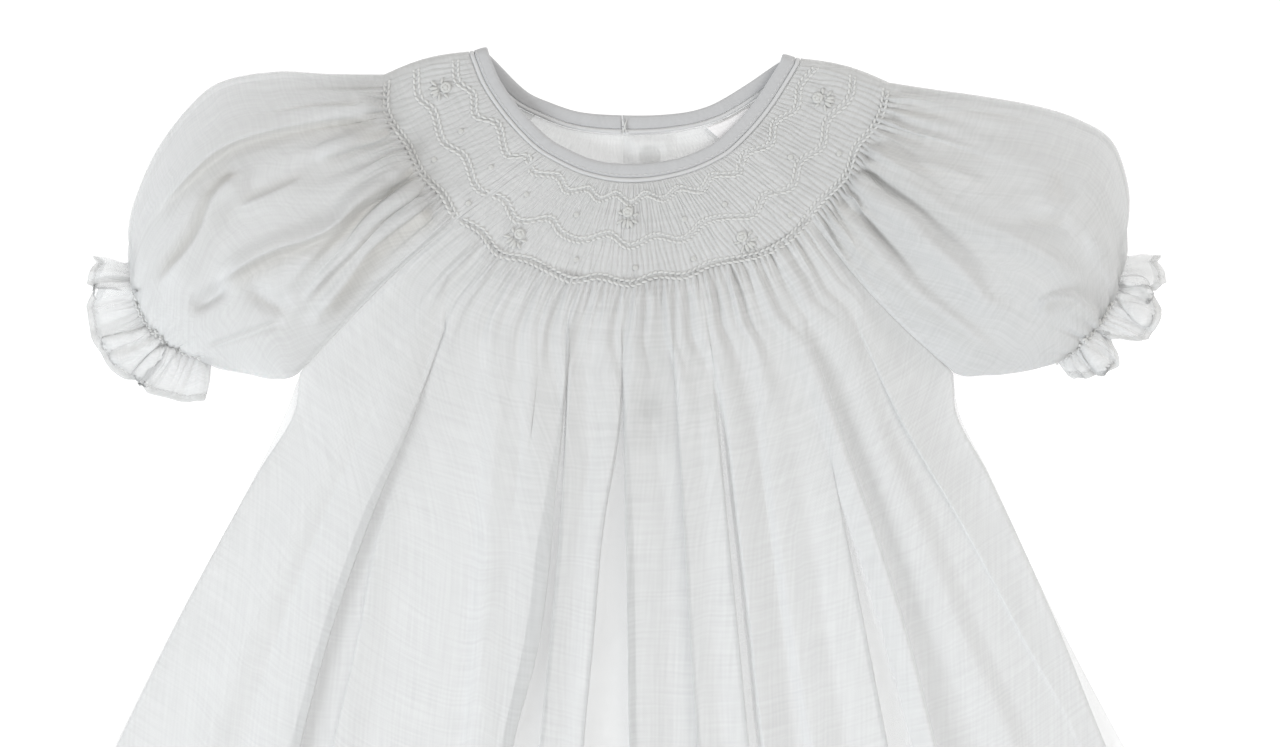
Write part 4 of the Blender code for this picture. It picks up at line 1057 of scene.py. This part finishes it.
    def upper(self, row, side_share):
        row, side_share = np.broadcast_arrays(np.asarray(row, float), np.asarray(side_share, float))
        return lifted(self.plan(row, side_share, False), self.puff(row, side_share))


def lifted(plan, height):
    """Plan points at a height."""
    height = np.broadcast_to(height, plan.shape[:-1])
    return np.concatenate((plan, height[..., None]), axis=-1)


def flat_vector(plan):
    """Plan directions as directions in space."""
    return np.concatenate((plan, np.zeros(plan.shape[:-1] + (1,))), axis=-1)


LEFT = Sleeve(
    LEFT_SLEEVE, LEFT_CREASES, FRONT_YOKE.knots[LEFT_RAGLAN],
    BACK_YOKE.knots[LEFT_BACK_SEAM], FRONT.left.raglan, BACK.left.raglan,
)
RIGHT = Sleeve(
    RIGHT_SLEEVE, RIGHT_CREASES, FRONT_YOKE.knots[RIGHT_RAGLAN],
    BACK_YOKE.knots[RIGHT_BACK_SEAM], FRONT.right.raglan, BACK.right.raglan,
)


def edge_round(top, inward, turn, part, tube, low):
    """Points where the cloth turns over at the seam under the arm."""
    normal = -inward * np.cos(turn) + UP * np.sin(turn)
    centre = top + UP * (FOLD_RADIUS if low else -FOLD_RADIUS) + inward * FOLD_RADIUS
    flat = top + inward * FOLD_RADIUS * part
    return mix(flat, centre + normal * FOLD_RADIUS, tube)


def sleeve_points(sleeve, seed):
    """Points and layers of a sleeve: its columns run from the front seam over the top fold
    to the back seam."""
    smock = np.linspace(-1, 0, SMOCK_ROWS + 1)
    puff = np.arange(1, PUFF_ROWS + 1) / PUFF_ROWS
    puff = CUFF * (0.7 * puff + 0.3 * puff ** 2)
    ruffle = mix(CUFF, 1.0, np.arange(1, RUFFLE_ROWS + 1) / RUFFLE_ROWS)
    rows = np.concatenate((smock, puff, ruffle))[:, None]
    low = np.maximum(rows, 0.0)
    tube = sleeve.tube(low)[..., None]
    seam_turn = math.asin(SEAM / 2 / FOLD_RADIUS)
    blocks = []

    inward, width = sleeve.across(rows, False)
    part = (np.arange(SLEEVE_SEAM_COLUMNS) / SLEEVE_SEAM_COLUMNS)[None, :, None]
    turn = mix(seam_turn, math.pi / 2, part)
    climb = sleeve.puff(rows, FOLD_RADIUS / width) - sleeve.puff(rows, 0 * width)
    rim = edge_round(sleeve.upper(rows, 0.0), inward, turn, part, tube, False)
    blocks.append(rim + UP * climb[..., None] * part)

    along = (np.arange(SLEEVE_UPPER_COLUMNS) / SLEEVE_UPPER_COLUMNS)[None, :]
    upper_share = mix(FOLD_RADIUS / width, 1.0, along)
    blocks.append(sleeve.upper(rows, upper_share))

    out = flat_vector(sleeve.out(low))
    fold = lifted(sleeve.plan(rows, 1.0, False), FOLD_RADIUS)
    turn = mix(math.pi / 2, -math.pi / 2, np.arange(SLEEVE_FOLD_COLUMNS) / SLEEVE_FOLD_COLUMNS)
    turn = turn[None, :, None]
    blocks.append(fold + (out * np.cos(turn) + UP * np.sin(turn)) * FOLD_RADIUS)

    inward, width = sleeve.across(rows, True)
    along = (np.arange(SLEEVE_UNDER_COLUMNS) / SLEEVE_UNDER_COLUMNS)[None, :]
    under_share = mix(1.0, FOLD_RADIUS / width, along)
    blocks.append(lifted(sleeve.plan(rows, under_share, True), 0.0))

    part = (1 - np.arange(UNDER_SEAM_COLUMNS + 1) / UNDER_SEAM_COLUMNS)[None, :, None]
    turn = mix(-seam_turn, -math.pi / 2, part)
    seam_low = lifted(sleeve.plan(rows, 0.0, True), 0.0)
    blocks.append(edge_round(seam_low, inward, turn, part, tube, True))

    points = np.concatenate(blocks, axis=1)
    columns = points.shape[1]
    phase = np.broadcast_to(np.arange(columns) / PLEAT_COLUMNS, points.shape[:2])
    on_top = phase < SLEEVE_PLEATS
    side_share = np.clip(np.arange(columns) / (SLEEVE_PLEATS * PLEAT_COLUMNS), 0, 1)
    relief, folded = crease_relief(points[..., 0], points[..., 1], sleeve.creases)
    inside = hold_ends(ease(low / 0.05), side_share, 7) * on_top
    points = points + UP * (relief * inside)[..., None]
    normal = normals_of(points, sleeve.side > 0)

    depth = np.broadcast_to(rows + 1, phase.shape)
    place = np.broadcast_to(sleeve.place(side_share, False), phase.shape)
    rise = smocked_rise(phase, depth, place, seed + 80)
    below = lengths_along(points, 0)
    to_cuff = below - below[SMOCK_ROWS + PUFF_ROWS]
    below = np.maximum(below - below[SMOCK_ROWS], 0)
    loose, stacked = gathers(phase, below, seed)
    cuff_reach = np.where(to_cuff < 0, -2.4 * to_cuff, to_cuff)
    cuffed, cuff_stacked = gathers(phase * 0.8, cuff_reach, seed + 40)
    cuffed = cuffed * ease((np.abs(to_cuff) + 1.5) / 3)
    at_cuff = ease((rows - 0.45) / 0.2)
    fair = ease(side_share / 0.05) * ease((1 - side_share) / 0.06)
    loose = (loose + 0.8 * cuffed * at_cuff) * fair
    rise = np.where(rows < 0, rise, np.maximum(loose, rise * (1 - ease(below / 3))))
    rise = np.where(on_top, rise, 0.0)
    points = points + normal * rise[..., None]

    ruffle = np.clip(to_cuff / 4, 0, 1)
    full = sleeve.fullness + 0.9 * np.exp(-below / 30) + 0.2 * np.exp(-np.abs(to_cuff) / 9)
    full = full - (sleeve.fullness - RUFFLE_LAYERS) * ruffle
    # Gathers and folded cloth by the creases add layers, which also darken the colour as painted shade
    full = full + (1.5 * stacked + 0.5 * cuff_stacked * at_cuff + 6 * folded) * on_top
    full = full - 0.6 * ease((side_share - 0.7) / 0.25) * ease(rows / 0.2)
    full = full + RUFFLE_HEM_LAYERS * (hem_distance(points) < RUFFLE_HEM)
    full = full + SLEEVE_SEAM_LAYERS * ease(1.5 - side_distance(points)) * ease((rows - 0.4) / 0.1)
    return points, np.where(rows < 0, YOKE_LAYERS, full)


# Back

def lap_raise(x, y):
    """How high the back lies over the buttons under its lap."""
    top = BACK_YOKE.at(0.5, 0.0)[1]
    fade = ease((top - y) / 2.5) * ease((y - SLIT_END_Y) / 10)
    from_slit = x - SLIT_X
    return LAP_RAISE * fade * ease(from_slit / 5) * ease((LAP_WIDTH - from_slit) / 5)


def back_points():
    rows = np.concatenate((np.linspace(-1, 0, BACK_SMOCK_ROWS + 1), skirt_shares(BACK_SKIRT_ROWS)))
    rows = rows[:, None]
    across = np.linspace(0, 1, BACK_COLUMNS + 1)[None, :]
    plan = BACK.at(rows, across)
    x, y = plan[..., 0], plan[..., 1]
    phase = np.broadcast_to(across * BACK_COLUMNS / 3, x.shape)
    points = lifted(plan, 0.0)
    below = lengths_along(points, 0)
    below = below - below[BACK_SMOCK_ROWS]
    loose, stacked = gathers(phase, np.maximum(below, 0), 71)
    loose = np.minimum(0.55 * loose, 0.75)
    pleats = BACK_PLEAT_RISE * ridge(phase) * (0.3 + 0.7 * ease((rows + 1) / 0.1))
    z = np.where(rows < 0, pleats, np.maximum(loose, pleats * (1 - ease(below / 4))))
    points = lifted(plan, z + lap_raise(x, y))
    full = 1 + 0.9 * np.exp(-np.maximum(below, 0) / 50) + 0.5 * stacked
    full = full + 0.6 * (rows > 0.94)
    return points, np.where(rows < 0, BACK_YOKE_LAYERS, full)


def lap_points():
    """The lap over the slit, a strip that lies on the back."""
    y = np.linspace(BACK_YOKE.at(0.5, 0.0)[1] - 0.5, SLIT_END_Y, 50)[:, None]
    x = (SLIT_X + np.linspace(0.2, LAP_WIDTH, 16))[None, :]
    x, y = np.broadcast_arrays(x, y)
    return np.stack((x, y, LAP_BOTTOM + lap_raise(x, y)), axis=-1)


def label_points():
    """A plain label below the back neck, beside the right back seam."""
    seam = BACK_YOKE.knots[RIGHT_BACK_SEAM]
    places = np.linspace(seam - LABEL_REACH, seam + LABEL_REACH, 25)[None, :]
    drops = np.linspace(1.0, 1.0 + LABEL_DEPTH, 17)[:, None]
    neck = BACK_YOKE.at(places, 0.0)
    down = -BACK_YOKE.to_neck(np.array(seam))
    plan = neck + down * drops[..., None]
    return lifted(plan, 1.9 + 0.5 * np.sin(drops / LABEL_DEPTH * 2.4) + 0 * places)


# Materials

def new_material(name):
    material = bpy.data.materials.new(name)
    material.use_nodes = True
    tree = material.node_tree
    return material, tree, tree.nodes["Principled BSDF"]


def set_values(node, **values):
    """Constants of a node's own sockets, with _ for each space in a socket's name."""
    for socket, value in values.items():
        node.inputs[socket.replace("_", " ")].default_value = value


def scaled_colour(tree, shader, colour, shade):
    """Base colour that a value over the surface makes lighter or darker. Gives the node
    whose first socket holds the colour."""
    tint = tree.nodes.new("ShaderNodeVectorMath")
    tint.operation = "SCALE"
    tint.inputs[0].default_value = colour
    tree.links.new(shade, tint.inputs["Scale"])
    tree.links.new(tint.outputs[0], shader.inputs["Base Color"])
    return tint


def add_bump(tree, shader, height, strength, distance):
    raised = tree.nodes.new("ShaderNodeBump")
    set_values(raised, Strength=strength, Distance=distance * MM)
    tree.links.new(height, raised.inputs["Height"])
    tree.links.new(raised.outputs[0], shader.inputs["Normal"])


def object_noise(tree, scale):
    place = tree.nodes.new("ShaderNodeTexCoord")
    noise = tree.nodes.new("ShaderNodeTexNoise")
    noise.inputs["Scale"].default_value = scale
    tree.links.new(place.outputs["Object"], noise.inputs["Vector"])
    return noise


def math_node(tree, operation, first, second=None):
    node = tree.nodes.new("ShaderNodeMath")
    node.operation = operation
    for socket, value in zip(node.inputs, (first, second)):
        if isinstance(value, bpy.types.NodeSocket):
            tree.links.new(value, socket)
        elif value is not None:
            socket.default_value = value
    return node.outputs[0]


def weave_group():
    """Plain weave: threads over and under each other, with thicker threads here and there."""
    group = bpy.data.node_groups.new("plain weave", "ShaderNodeTree")
    face = group.interface
    face.new_socket("Cloth", in_out="INPUT", socket_type="NodeSocketVector")
    pitch = face.new_socket("Threads per metre", in_out="INPUT", socket_type="NodeSocketFloat")
    pitch.default_value = 2400
    face.new_socket("Height", in_out="OUTPUT", socket_type="NodeSocketFloat")
    face.new_socket("Slub", in_out="OUTPUT", socket_type="NodeSocketFloat")
    source = group.nodes.new("NodeGroupInput")
    result = group.nodes.new("NodeGroupOutput")
    parts = group.nodes.new("ShaderNodeSeparateXYZ")
    group.links.new(source.outputs["Cloth"], parts.inputs[0])
    waves = []
    for axis in (0, 1):
        turns = math_node(group, "MULTIPLY", parts.outputs[axis], source.outputs["Threads per metre"])
        angle = math_node(group, "MULTIPLY", turns, math.tau)
        waves.append(math_node(group, "SINE", angle))
    both = math_node(group, "MULTIPLY", waves[0], waves[1])
    group.links.new(both, result.inputs["Height"])
    slubs = []
    for scale in ((9.0, 0.35, 1.0), (0.35, 9.0, 1.0)):
        stretch = group.nodes.new("ShaderNodeVectorMath")
        stretch.operation = "MULTIPLY"
        stretch.inputs[1].default_value = scale
        group.links.new(source.outputs["Cloth"], stretch.inputs[0])
        noise = group.nodes.new("ShaderNodeTexNoise")
        noise.noise_dimensions = "2D"
        set_values(noise, Scale=130, Detail=0)
        group.links.new(stretch.outputs[0], noise.inputs["Vector"])
        slubs.append(noise.outputs["Fac"])
    total = math_node(group, "ADD", slubs[0], slubs[1])
    group.links.new(math_node(group, "SUBTRACT", total, 1.0), result.inputs["Slub"])
    return group


def cotton(name, weave, colour, clear, tone=0.11, bump=0.05, threads=1300, roughness=0.9):
    """Woven cotton. clear is how much light a single layer lets straight through."""
    material, tree, shader = new_material(name)
    set_values(shader, Roughness=roughness, Sheen_Weight=0.25, Sheen_Roughness=0.5,
               Specular_IOR_Level=0.25)
    uv = tree.nodes.new("ShaderNodeUVMap")
    uv.uv_map = "cloth"
    cloth = tree.nodes.new("ShaderNodeGroup")
    cloth.node_tree = weave
    set_values(cloth, Threads_per_metre=threads)
    tree.links.new(uv.outputs[0], cloth.inputs["Cloth"])
    shade = math_node(tree, "ADD", math_node(tree, "MULTIPLY", cloth.outputs["Slub"], tone), 1.0)
    threads_shade = math_node(tree, "MULTIPLY", cloth.outputs["Height"], tone * 0.2)
    shade = math_node(tree, "ADD", shade, threads_shade)
    tint = scaled_colour(tree, shader, colour, shade)
    if clear > 0:
        layers = tree.nodes.new("ShaderNodeAttribute")
        layers.attribute_name = "layers"
        through = math_node(tree, "POWER", math.sqrt(clear), layers.outputs["Fac"])
        solid = math_node(tree, "SUBTRACT", 1.0, through)
        tree.links.new(solid, shader.inputs["Alpha"])
        # Painted shade: from two layers to seven, the colour is mixed towards a darker grey
        folded = tree.nodes.new("ShaderNodeMapRange")
        set_values(folded, From_Min=2.0, From_Max=7.0)
        tree.links.new(layers.outputs["Fac"], folded.inputs["Value"])
        colours = tree.nodes.new("ShaderNodeMix")
        colours.data_type = "RGBA"
        colours.inputs[6].default_value = (*colour, 1)
        colours.inputs[7].default_value = (*FOLD_SHADE_COLOUR, 1)
        tree.links.new(folded.outputs["Result"], colours.inputs[0])
        tree.links.new(colours.outputs[2], tint.inputs[0])
    add_bump(tree, shader, cloth.outputs["Height"], 0.35, bump)
    return material


def thread_material(name, colour):
    """Twisted cotton thread with a faint sheen."""
    material, tree, shader = new_material(name)
    set_values(shader, Roughness=0.6, Sheen_Weight=0.3)
    noise = object_noise(tree, 1600)
    shade = math_node(tree, "ADD", math_node(tree, "MULTIPLY", noise.outputs["Fac"], 0.2), 0.9)
    scaled_colour(tree, shader, colour, shade)
    add_bump(tree, shader, noise.outputs["Fac"], 0.4, 0.1)
    return material


def pearl_material():
    material, tree, shader = new_material("pearl button")
    set_values(shader, Roughness=0.25, Coat_Weight=0.5, Alpha=0.35)
    noise = object_noise(tree, 260)
    noise.inputs["Distortion"].default_value = 2.0
    ramp = tree.nodes.new("ShaderNodeValToRGB")
    ramp.color_ramp.elements[0].color = PEARL_DARK
    ramp.color_ramp.elements[1].color = PEARL_LIGHT
    tree.links.new(noise.outputs["Fac"], ramp.inputs["Fac"])
    tree.links.new(ramp.outputs["Color"], shader.inputs["Base Color"])
    return material


# Neck binding and piping

def neck_stations():
    """Plan points, directions to the opening and outward normals round the neck."""
    plans, inwards, normals = [], [], []
    centre = BACK_YOKE.knots[len(BACK_SPOKES) // 2]

    def add(yoke, places, normal, shift=0.0):
        for place in places:
            point = yoke.at(place, 0.0)
            plans.append(point + np.array((shift, 0.0)))
            inwards.append(yoke.to_neck(place))
            normals.append(normal)

    def turned(place, angles):
        to_neck = FRONT_YOKE.to_neck(place)
        out = np.array((-to_neck[1], to_neck[0], 0.0))
        out = out if out[1] > 0 else -out
        for angle in angles:
            add(FRONT_YOKE, [place], out * math.cos(angle) + UP * math.sin(angle))

    add(BACK_YOKE, [centre], -UP, -NECK_OPENING)
    add(BACK_YOKE, np.linspace(centre, 0, 41)[1:], -UP)
    turned(0.0, np.linspace(-math.pi / 2, math.pi / 2, 13)[1:-1])
    add(FRONT_YOKE, np.linspace(0, 1, 121), UP)
    turned(1.0, np.linspace(math.pi / 2, -math.pi / 2, 13)[1:-1])
    add(BACK_YOKE, np.linspace(1, centre, 41)[:-1], -UP)
    add(BACK_YOKE, [centre], -UP, NECK_OPENING)
    return np.array(plans), np.array(inwards), np.array(normals)


def add_neck_strip(name, start, section, thickness, material):
    """A closed strip swept round the neck. Section points are (towards the opening, outward)."""
    plans, inwards, normals = neck_stations()
    reach = FOLD_RADIUS - thickness / 2
    centre = lifted(plans, FOLD_RADIUS) + normals * reach
    centre = centre + UP * NECK_LIFT * np.maximum(normals[:, 2:], 0)
    inward = flat_vector(inwards)
    section = np.array(section)
    count, sides = len(centre), len(section)
    points = (
        centre[:, None]
        + inward[:, None] * (start + section[None, :, :1])
        + normals[:, None] * section[None, :, 1:]
    )
    mesh = bpy.data.meshes.new(name)
    faces = []
    for ring in range(count - 1):
        for side in range(sides):
            a, b = ring * sides + side, ring * sides + (side + 1) % sides
            faces.append((a, b, b + sides, a + sides))
    faces.append(tuple(reversed(range(sides))))
    faces.append(tuple(range((count - 1) * sides, count * sides)))
    mesh.from_pydata(points.reshape(-1, 3) * MM, [], faces)
    layer = mesh.uv_layers.new(name="cloth")
    along = lengths_along(centre, 0)
    corner = corner_vertices(mesh)
    around = np.arange(sides) * 2 * BINDING_WIDTH / sides
    woven = np.stack((along[corner // sides] + around[corner % sides],
                      along[corner // sides] - around[corner % sides]), axis=-1)
    layer.data.foreach_set("uv", (woven * 0.7 * MM).ravel())
    strip = link_new(name, mesh)
    select_only(strip)
    bpy.ops.object.mode_set(mode="EDIT")
    bpy.ops.mesh.select_all(action="SELECT")
    bpy.ops.mesh.normals_make_consistent(inside=False)
    bpy.ops.object.mode_set(mode="OBJECT")
    bpy.ops.object.shade_smooth()
    mesh.materials.append(material)
    return strip, points


def add_neck(bias, piping_cloth):
    """The binding and its piping. Gives the stitches along the groove of the binding."""
    start = 2 * SEAM + PIPING_DIAMETER
    binding, ring = add_neck_strip("neck_band", start, binding_section(), BINDING_THICKNESS, bias)
    wear(binding, "white_binding", "neck_binding")
    cord = cord_section(CORD_DIAMETER)
    piping, _ = add_neck_strip("neck_cord", 0.1, cord, CORD_DIAMETER, piping_cloth)
    wear(piping, "white_thread", "neck_piping")
    groove = ring[:, 2]
    outward = neck_stations()[2]
    left, right, end = SHOULDER_STATION, len(groove) - SHOULDER_STATION, len(groove)
    spots = []
    for first, last in ((0, left), (left - 1, right), (right - 1, end)):
        middle = (first + last) // 2
        spots += line_spots(groove[first:last], BINDING_STITCHES, outward[middle])
    return spots


def binding_section():
    """A folded strip of cloth: fat at its folded inner edge, with a stitched groove at the outer."""
    half = BINDING_THICKNESS / 2
    top = [
        (0.0, 0.35 * half), (0.35, 0.85 * half), (0.9, 0.72 * half), (1.5, 0.95 * half),
        (2.6, half), (3.8, 0.98 * half), (4.6, 0.8 * half), (BINDING_WIDTH, 0.3 * half),
    ]
    return top + [(x, -z) for x, z in reversed(top)]


def cord_section(diameter, sides=10):
    radius = diameter / 2
    angles = np.arange(sides) * math.tau / sides
    return [(radius + radius * math.cos(a), radius * math.sin(a)) for a in angles]


# Embroidery

def on_pleats(points, depth, column):
    """A point of the smocking, or just below it, where the lowest cable swings over its edge."""
    spot = read_grid(points, min(depth, 1.0) * SMOCK_ROWS, column)
    if depth > 1:
        edge = read_grid(points, SMOCK_ROWS, column)
        higher = read_grid(points, 0.9 * SMOCK_ROWS, column)
        spot = edge + (edge - higher) * np.array((1, 1, 0)) * (depth - 1) / 0.1
    return spot


def stitch(start, end, along, outward, lift, *size):
    """A stitch from point to point, lifted out of the cloth, as a spot for add_copies."""
    up = unit(outward - along * np.dot(outward, along))
    return ((start + end) / 2 + up * lift, along, up, *size)


def cable_spots(points, pleats, place_of):
    """Two strands of slanting stitches along each cable, from pleat to pleat."""
    spots = []
    for cable in CABLES:
        for strand in (-0.5, 0.5):
            for i in range(pleats):
                ends = []
                for step in (0.5, 1.5):
                    place = place_of((i + step) / pleats)
                    depth = float(cable_depth(cable, place)) + strand * STRAND_GAP
                    slant = STRAND_SLANT * (step - 1) * 4 * strand
                    column = min((i + step) * PLEAT_COLUMNS, pleats * PLEAT_COLUMNS)
                    ends.append(on_pleats(points, depth + slant, column))
                along = unit(ends[1] - ends[0] + 1e-6)
                long = np.linalg.norm(ends[1] - ends[0]) * 0.92
                spots.append(stitch(*ends, along, UP, 0.15, long, 0.95, 0.5))
    return spots


def radial_frame(place):
    """Directions at a place of the front yoke: down the pleats and along the rows."""
    down = -flat_vector(FRONT_YOKE.to_neck(np.array(place)))
    return down, np.cross(UP, down)


def bud_spots():
    """Bullion roses: coils wound round a knot, above a second, smaller knot with leaves."""
    spots = []
    for place, depth in BUDS:
        down, side = radial_frame(place)
        middle = lifted(FRONT_YOKE.at(place, depth), YOKE_TOP + PLEAT_RISE + ROSE_LIFT)
        rose = middle - down * 2.2
        for turn in ROSE_COILS:
            out = down * math.cos(turn) + side * math.sin(turn)
            spots.append((rose + out * 1.35, np.cross(UP, out), UP, 2.7, 1.3, 1.1))
        spots.append((rose + UP * 0.15, side, UP, 2.1, 1.9, 1.3))
        for shift, long in LOWER_COILS:
            centre = middle + down * 2.2 + side * shift
            spots.append((centre, down + side * shift * 0.25, UP, long, 1.3, 1.1))
        for turn, out, long in LEAVES:
            direction = down * math.cos(turn) + side * math.sin(turn)
            spots.append((middle + direction * out, direction, UP, long, 1.0, 0.8))
    return spots


def knot_spots():
    """French knots: a thread wound round into a low ring with a dimple."""
    spots = []
    for place, depth in KNOTS:
        down, side = radial_frame(place)
        middle = lifted(FRONT_YOKE.at(place, depth), YOKE_TOP + PLEAT_RISE + KNOT_LIFT)
        for turn in KNOT_COILS:
            direction = down * math.cos(turn) + side * math.sin(turn)
            spots.append((middle + direction * 0.6, np.cross(UP, direction), UP, 1.2, 0.8, 0.7))
        spots.append((middle, side, UP, 1.2, 1.1, 0.85))
    return spots


def cuff_spots(points):
    """Gathering stitches round the top of a cuff, two rows that catch every gather."""
    spots = []
    row = SMOCK_ROWS + PUFF_ROWS
    for shift in (-2.2, 2.2):
        for i in range(CUFF_STITCHES):
            column = (i + 0.5) / CUFF_STITCHES * SLEEVE_PLEATS * PLEAT_COLUMNS
            lean = 1.0 if (i % 2) == (shift > 0) else -1.0
            a = read_grid(points, row + shift * 0.4 - 0.5 * lean, column - 2.2)
            b = read_grid(points, row + shift * 0.4 + 0.5 * lean, column + 2.2)
            spots.append(stitch(a, b, unit(b - a), UP, 0.9, 1.8, 1.0, 0.9))
    return spots


def thread_mark():
    """Two crossed stitches below the back neck."""
    spots = []
    for slope in (1.1, -1.1):
        along = unit(np.array((slope * 0.55, -2.0, 0.0)))
        spots.append((THREAD_MARK, along, UP, 6.0, 0.5, 0.5))
    return spots


def line_spots(line, stitches, outward):
    """Machine stitches along a line of points."""
    pitch, long, wide = stitches
    far = lengths_along(line, 0)
    spots = []
    for at in np.arange(pitch / 2, far[-1], pitch):
        a = np.array([np.interp(at - 0.3, far, line[:, k]) for k in range(3)])
        b = np.array([np.interp(at + 0.3, far, line[:, k]) for k in range(3)])
        spots.append(stitch(a, b, unit(b - a), outward, 0.3 * wide, long, wide, wide))
    return spots


def hem_line(points, distance, first=0, last=None):
    """A line across the cloth at a distance above its lower edge."""
    to_hem = hem_distance(points)
    line = []
    for column in range(first, last or points.shape[1]):
        far = to_hem[::-1, column]
        line.append([np.interp(distance, far, points[::-1, column, k]) for k in range(3)])
    return np.array(line)


# Stage

def add_floor(material):
    deselect_all()
    bpy.ops.mesh.primitive_plane_add(size=FLOOR_SIZE, location=(0, 0, 0))
    floor = bpy.context.object
    floor.name = "floor"
    floor.data.transform(floor.matrix_world)
    floor.matrix_world.identity()
    floor.location = (0, 0, -FLOOR_DROP)
    floor.data.materials.append(material)
    return floor


def floor_material():
    material, _, shader = new_material("white table")
    set_values(shader, Base_Color=(0.45, 0.45, 0.45, 1), Roughness=0.9,
               Emission_Color=(1, 1, 1, 1), Emission_Strength=FLOOR_GLOW)
    return material


def add_area_light(name, place, size, power, colour):
    """A square light that faces the dress."""
    data = bpy.data.lights.new(name, "AREA")
    data.shape = "SQUARE"
    data.size = size
    data.energy = power
    data.color = colour
    light = link_new(name, data)
    light.location = place
    light.rotation_euler = (LIT_SPOT - Vector(place)).to_track_quat("-Z", "Y").to_euler()


def set_stage():
    add_floor(floor_material())
    world = bpy.data.worlds.new("soft room")
    world.use_nodes = True
    bpy.context.scene.world = world
    set_values(world.node_tree.nodes["Background"], Color=ROOM_COLOUR, Strength=ROOM_LIGHT)
    add_area_light("key", (-1.1, -0.9, 0.9), 0.7, 19, (0.93, 0.97, 1.0))
    add_area_light("fill", (0.9, 0.8, 1.3), 1.2, 13, (1.0, 0.985, 0.96))

    data = bpy.data.cameras.new("camera")
    data.lens = LENS
    data.sensor_width = SENSOR
    camera = link_new("camera", data)
    camera.location = (*PICTURE_CENTRE, PICTURE_WIDTH * LENS / SENSOR)
    scene = bpy.context.scene
    scene.camera = camera
    scene.view_settings.view_transform = "Standard"
    scene.cycles.transparent_max_bounces = 12
    scene.cycles.max_bounces = 4
    scene.cycles.diffuse_bounces = 2


def wear(piece, slot, *nodes):
    """A piece of the dress rides with it and stands for its solids."""
    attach(piece, "root")
    if nodes:
        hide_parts(*nodes)
    return piece


def build_dress():
    weave = weave_group()
    batiste = cotton("white batiste", weave, BATISTE_COLOUR, 0.60)
    bias = cotton("bias binding", weave, BIAS_COLOUR, 0.0, tone=0.05, bump=0.03)
    piping_cloth = cotton("piping cloth", weave, PIPING_COLOUR, 0.0, tone=0.05, bump=0.03)
    thread = thread_material("white thread", THREAD_COLOUR)
    floss = thread_material("embroidery floss", FLOSS_COLOUR)
    bullion = thread_material("bullion thread", BULLION_COLOUR)
    satin = cotton("label satin", weave, SATIN_COLOUR, 0.0, roughness=0.5)
    lap_batiste = cotton("lap batiste", weave, BATISTE_COLOUR, 0.8)

    smocked, layers = front_cloth(np.linspace(-1, 0, SMOCK_ROWS + 1), FRONT_PLEATS * PLEAT_COLUMNS)
    yoke = wear(add_cloth("front_smocking", smocked, batiste, layers), "white_batiste", "front")
    skirt, layers = front_cloth(np.concatenate(([0.0], skirt_shares(SKIRT_ROWS))), SKIRT_COLUMNS)
    front = wear(add_cloth("front_skirt", skirt, batiste, layers), "white_batiste", "front")
    spots = cable_spots(smocked, FRONT_PLEATS, lambda a: mix(FRONT.start, FRONT.stop, a))
    lines = line_spots(hem_line(skirt, SKIRT_HEM), SKIRT_HEM_STITCHES, UP)

    sleeves = []
    for name, sleeve, seed in (("left", LEFT, 21), ("right", RIGHT, 31)):
        cloth, layers = sleeve_points(sleeve, seed)
        piece = add_cloth(f"{name}_sleeve", cloth, batiste, layers)
        sleeves.append(wear(piece, "white_batiste", f"sleeve_{name}"))
        spots += cable_spots(cloth, SLEEVE_PLEATS, lambda a, s=sleeve: s.place(a, False))
        spots += cuff_spots(cloth)
        top = SLEEVE_PLEATS * PLEAT_COLUMNS + 6
        lines += line_spots(hem_line(cloth, RUFFLE_HEM - 0.2, 2, top), RUFFLE_HEM_STITCHES, UP)

    cloth, layers = back_points()
    back = add_cloth("back_panel", cloth, batiste, layers, faces_up=False)
    wear(back, "white_batiste", "back")
    lap = add_cloth("opening_lap", lap_points(), lap_batiste, shell=0.4)
    wear(lap, "white_batiste", "back_lap")
    label = add_cloth("neck_label", label_points(), satin, shell=0.3)
    wear(label, "label_cloth", "label")

    lines += add_neck(bias, piping_cloth)
    spots += thread_mark()

    bead, faces = bead_form(8, 6)
    wear(add_copies("smocking_stitches", bead, faces, spots, floss), "white_thread")
    wear(add_copies("machine_stitches", bead, faces, lines, thread), "white_thread")
    fine_bead, fine_faces = bead_form(14, 10)
    raised = bud_spots() + knot_spots()
    wear(add_copies("buds_and_knots", fine_bead, fine_faces, raised, bullion), "white_thread")

    pearl = pearl_material()
    for number in (1, 2, 3):
        button = frame["nodes"][f"button_{number}"].data
        button.materials.clear()
        button.materials.append(pearl)

    for sleeve in sleeves:
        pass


build_dress()
set_stage()
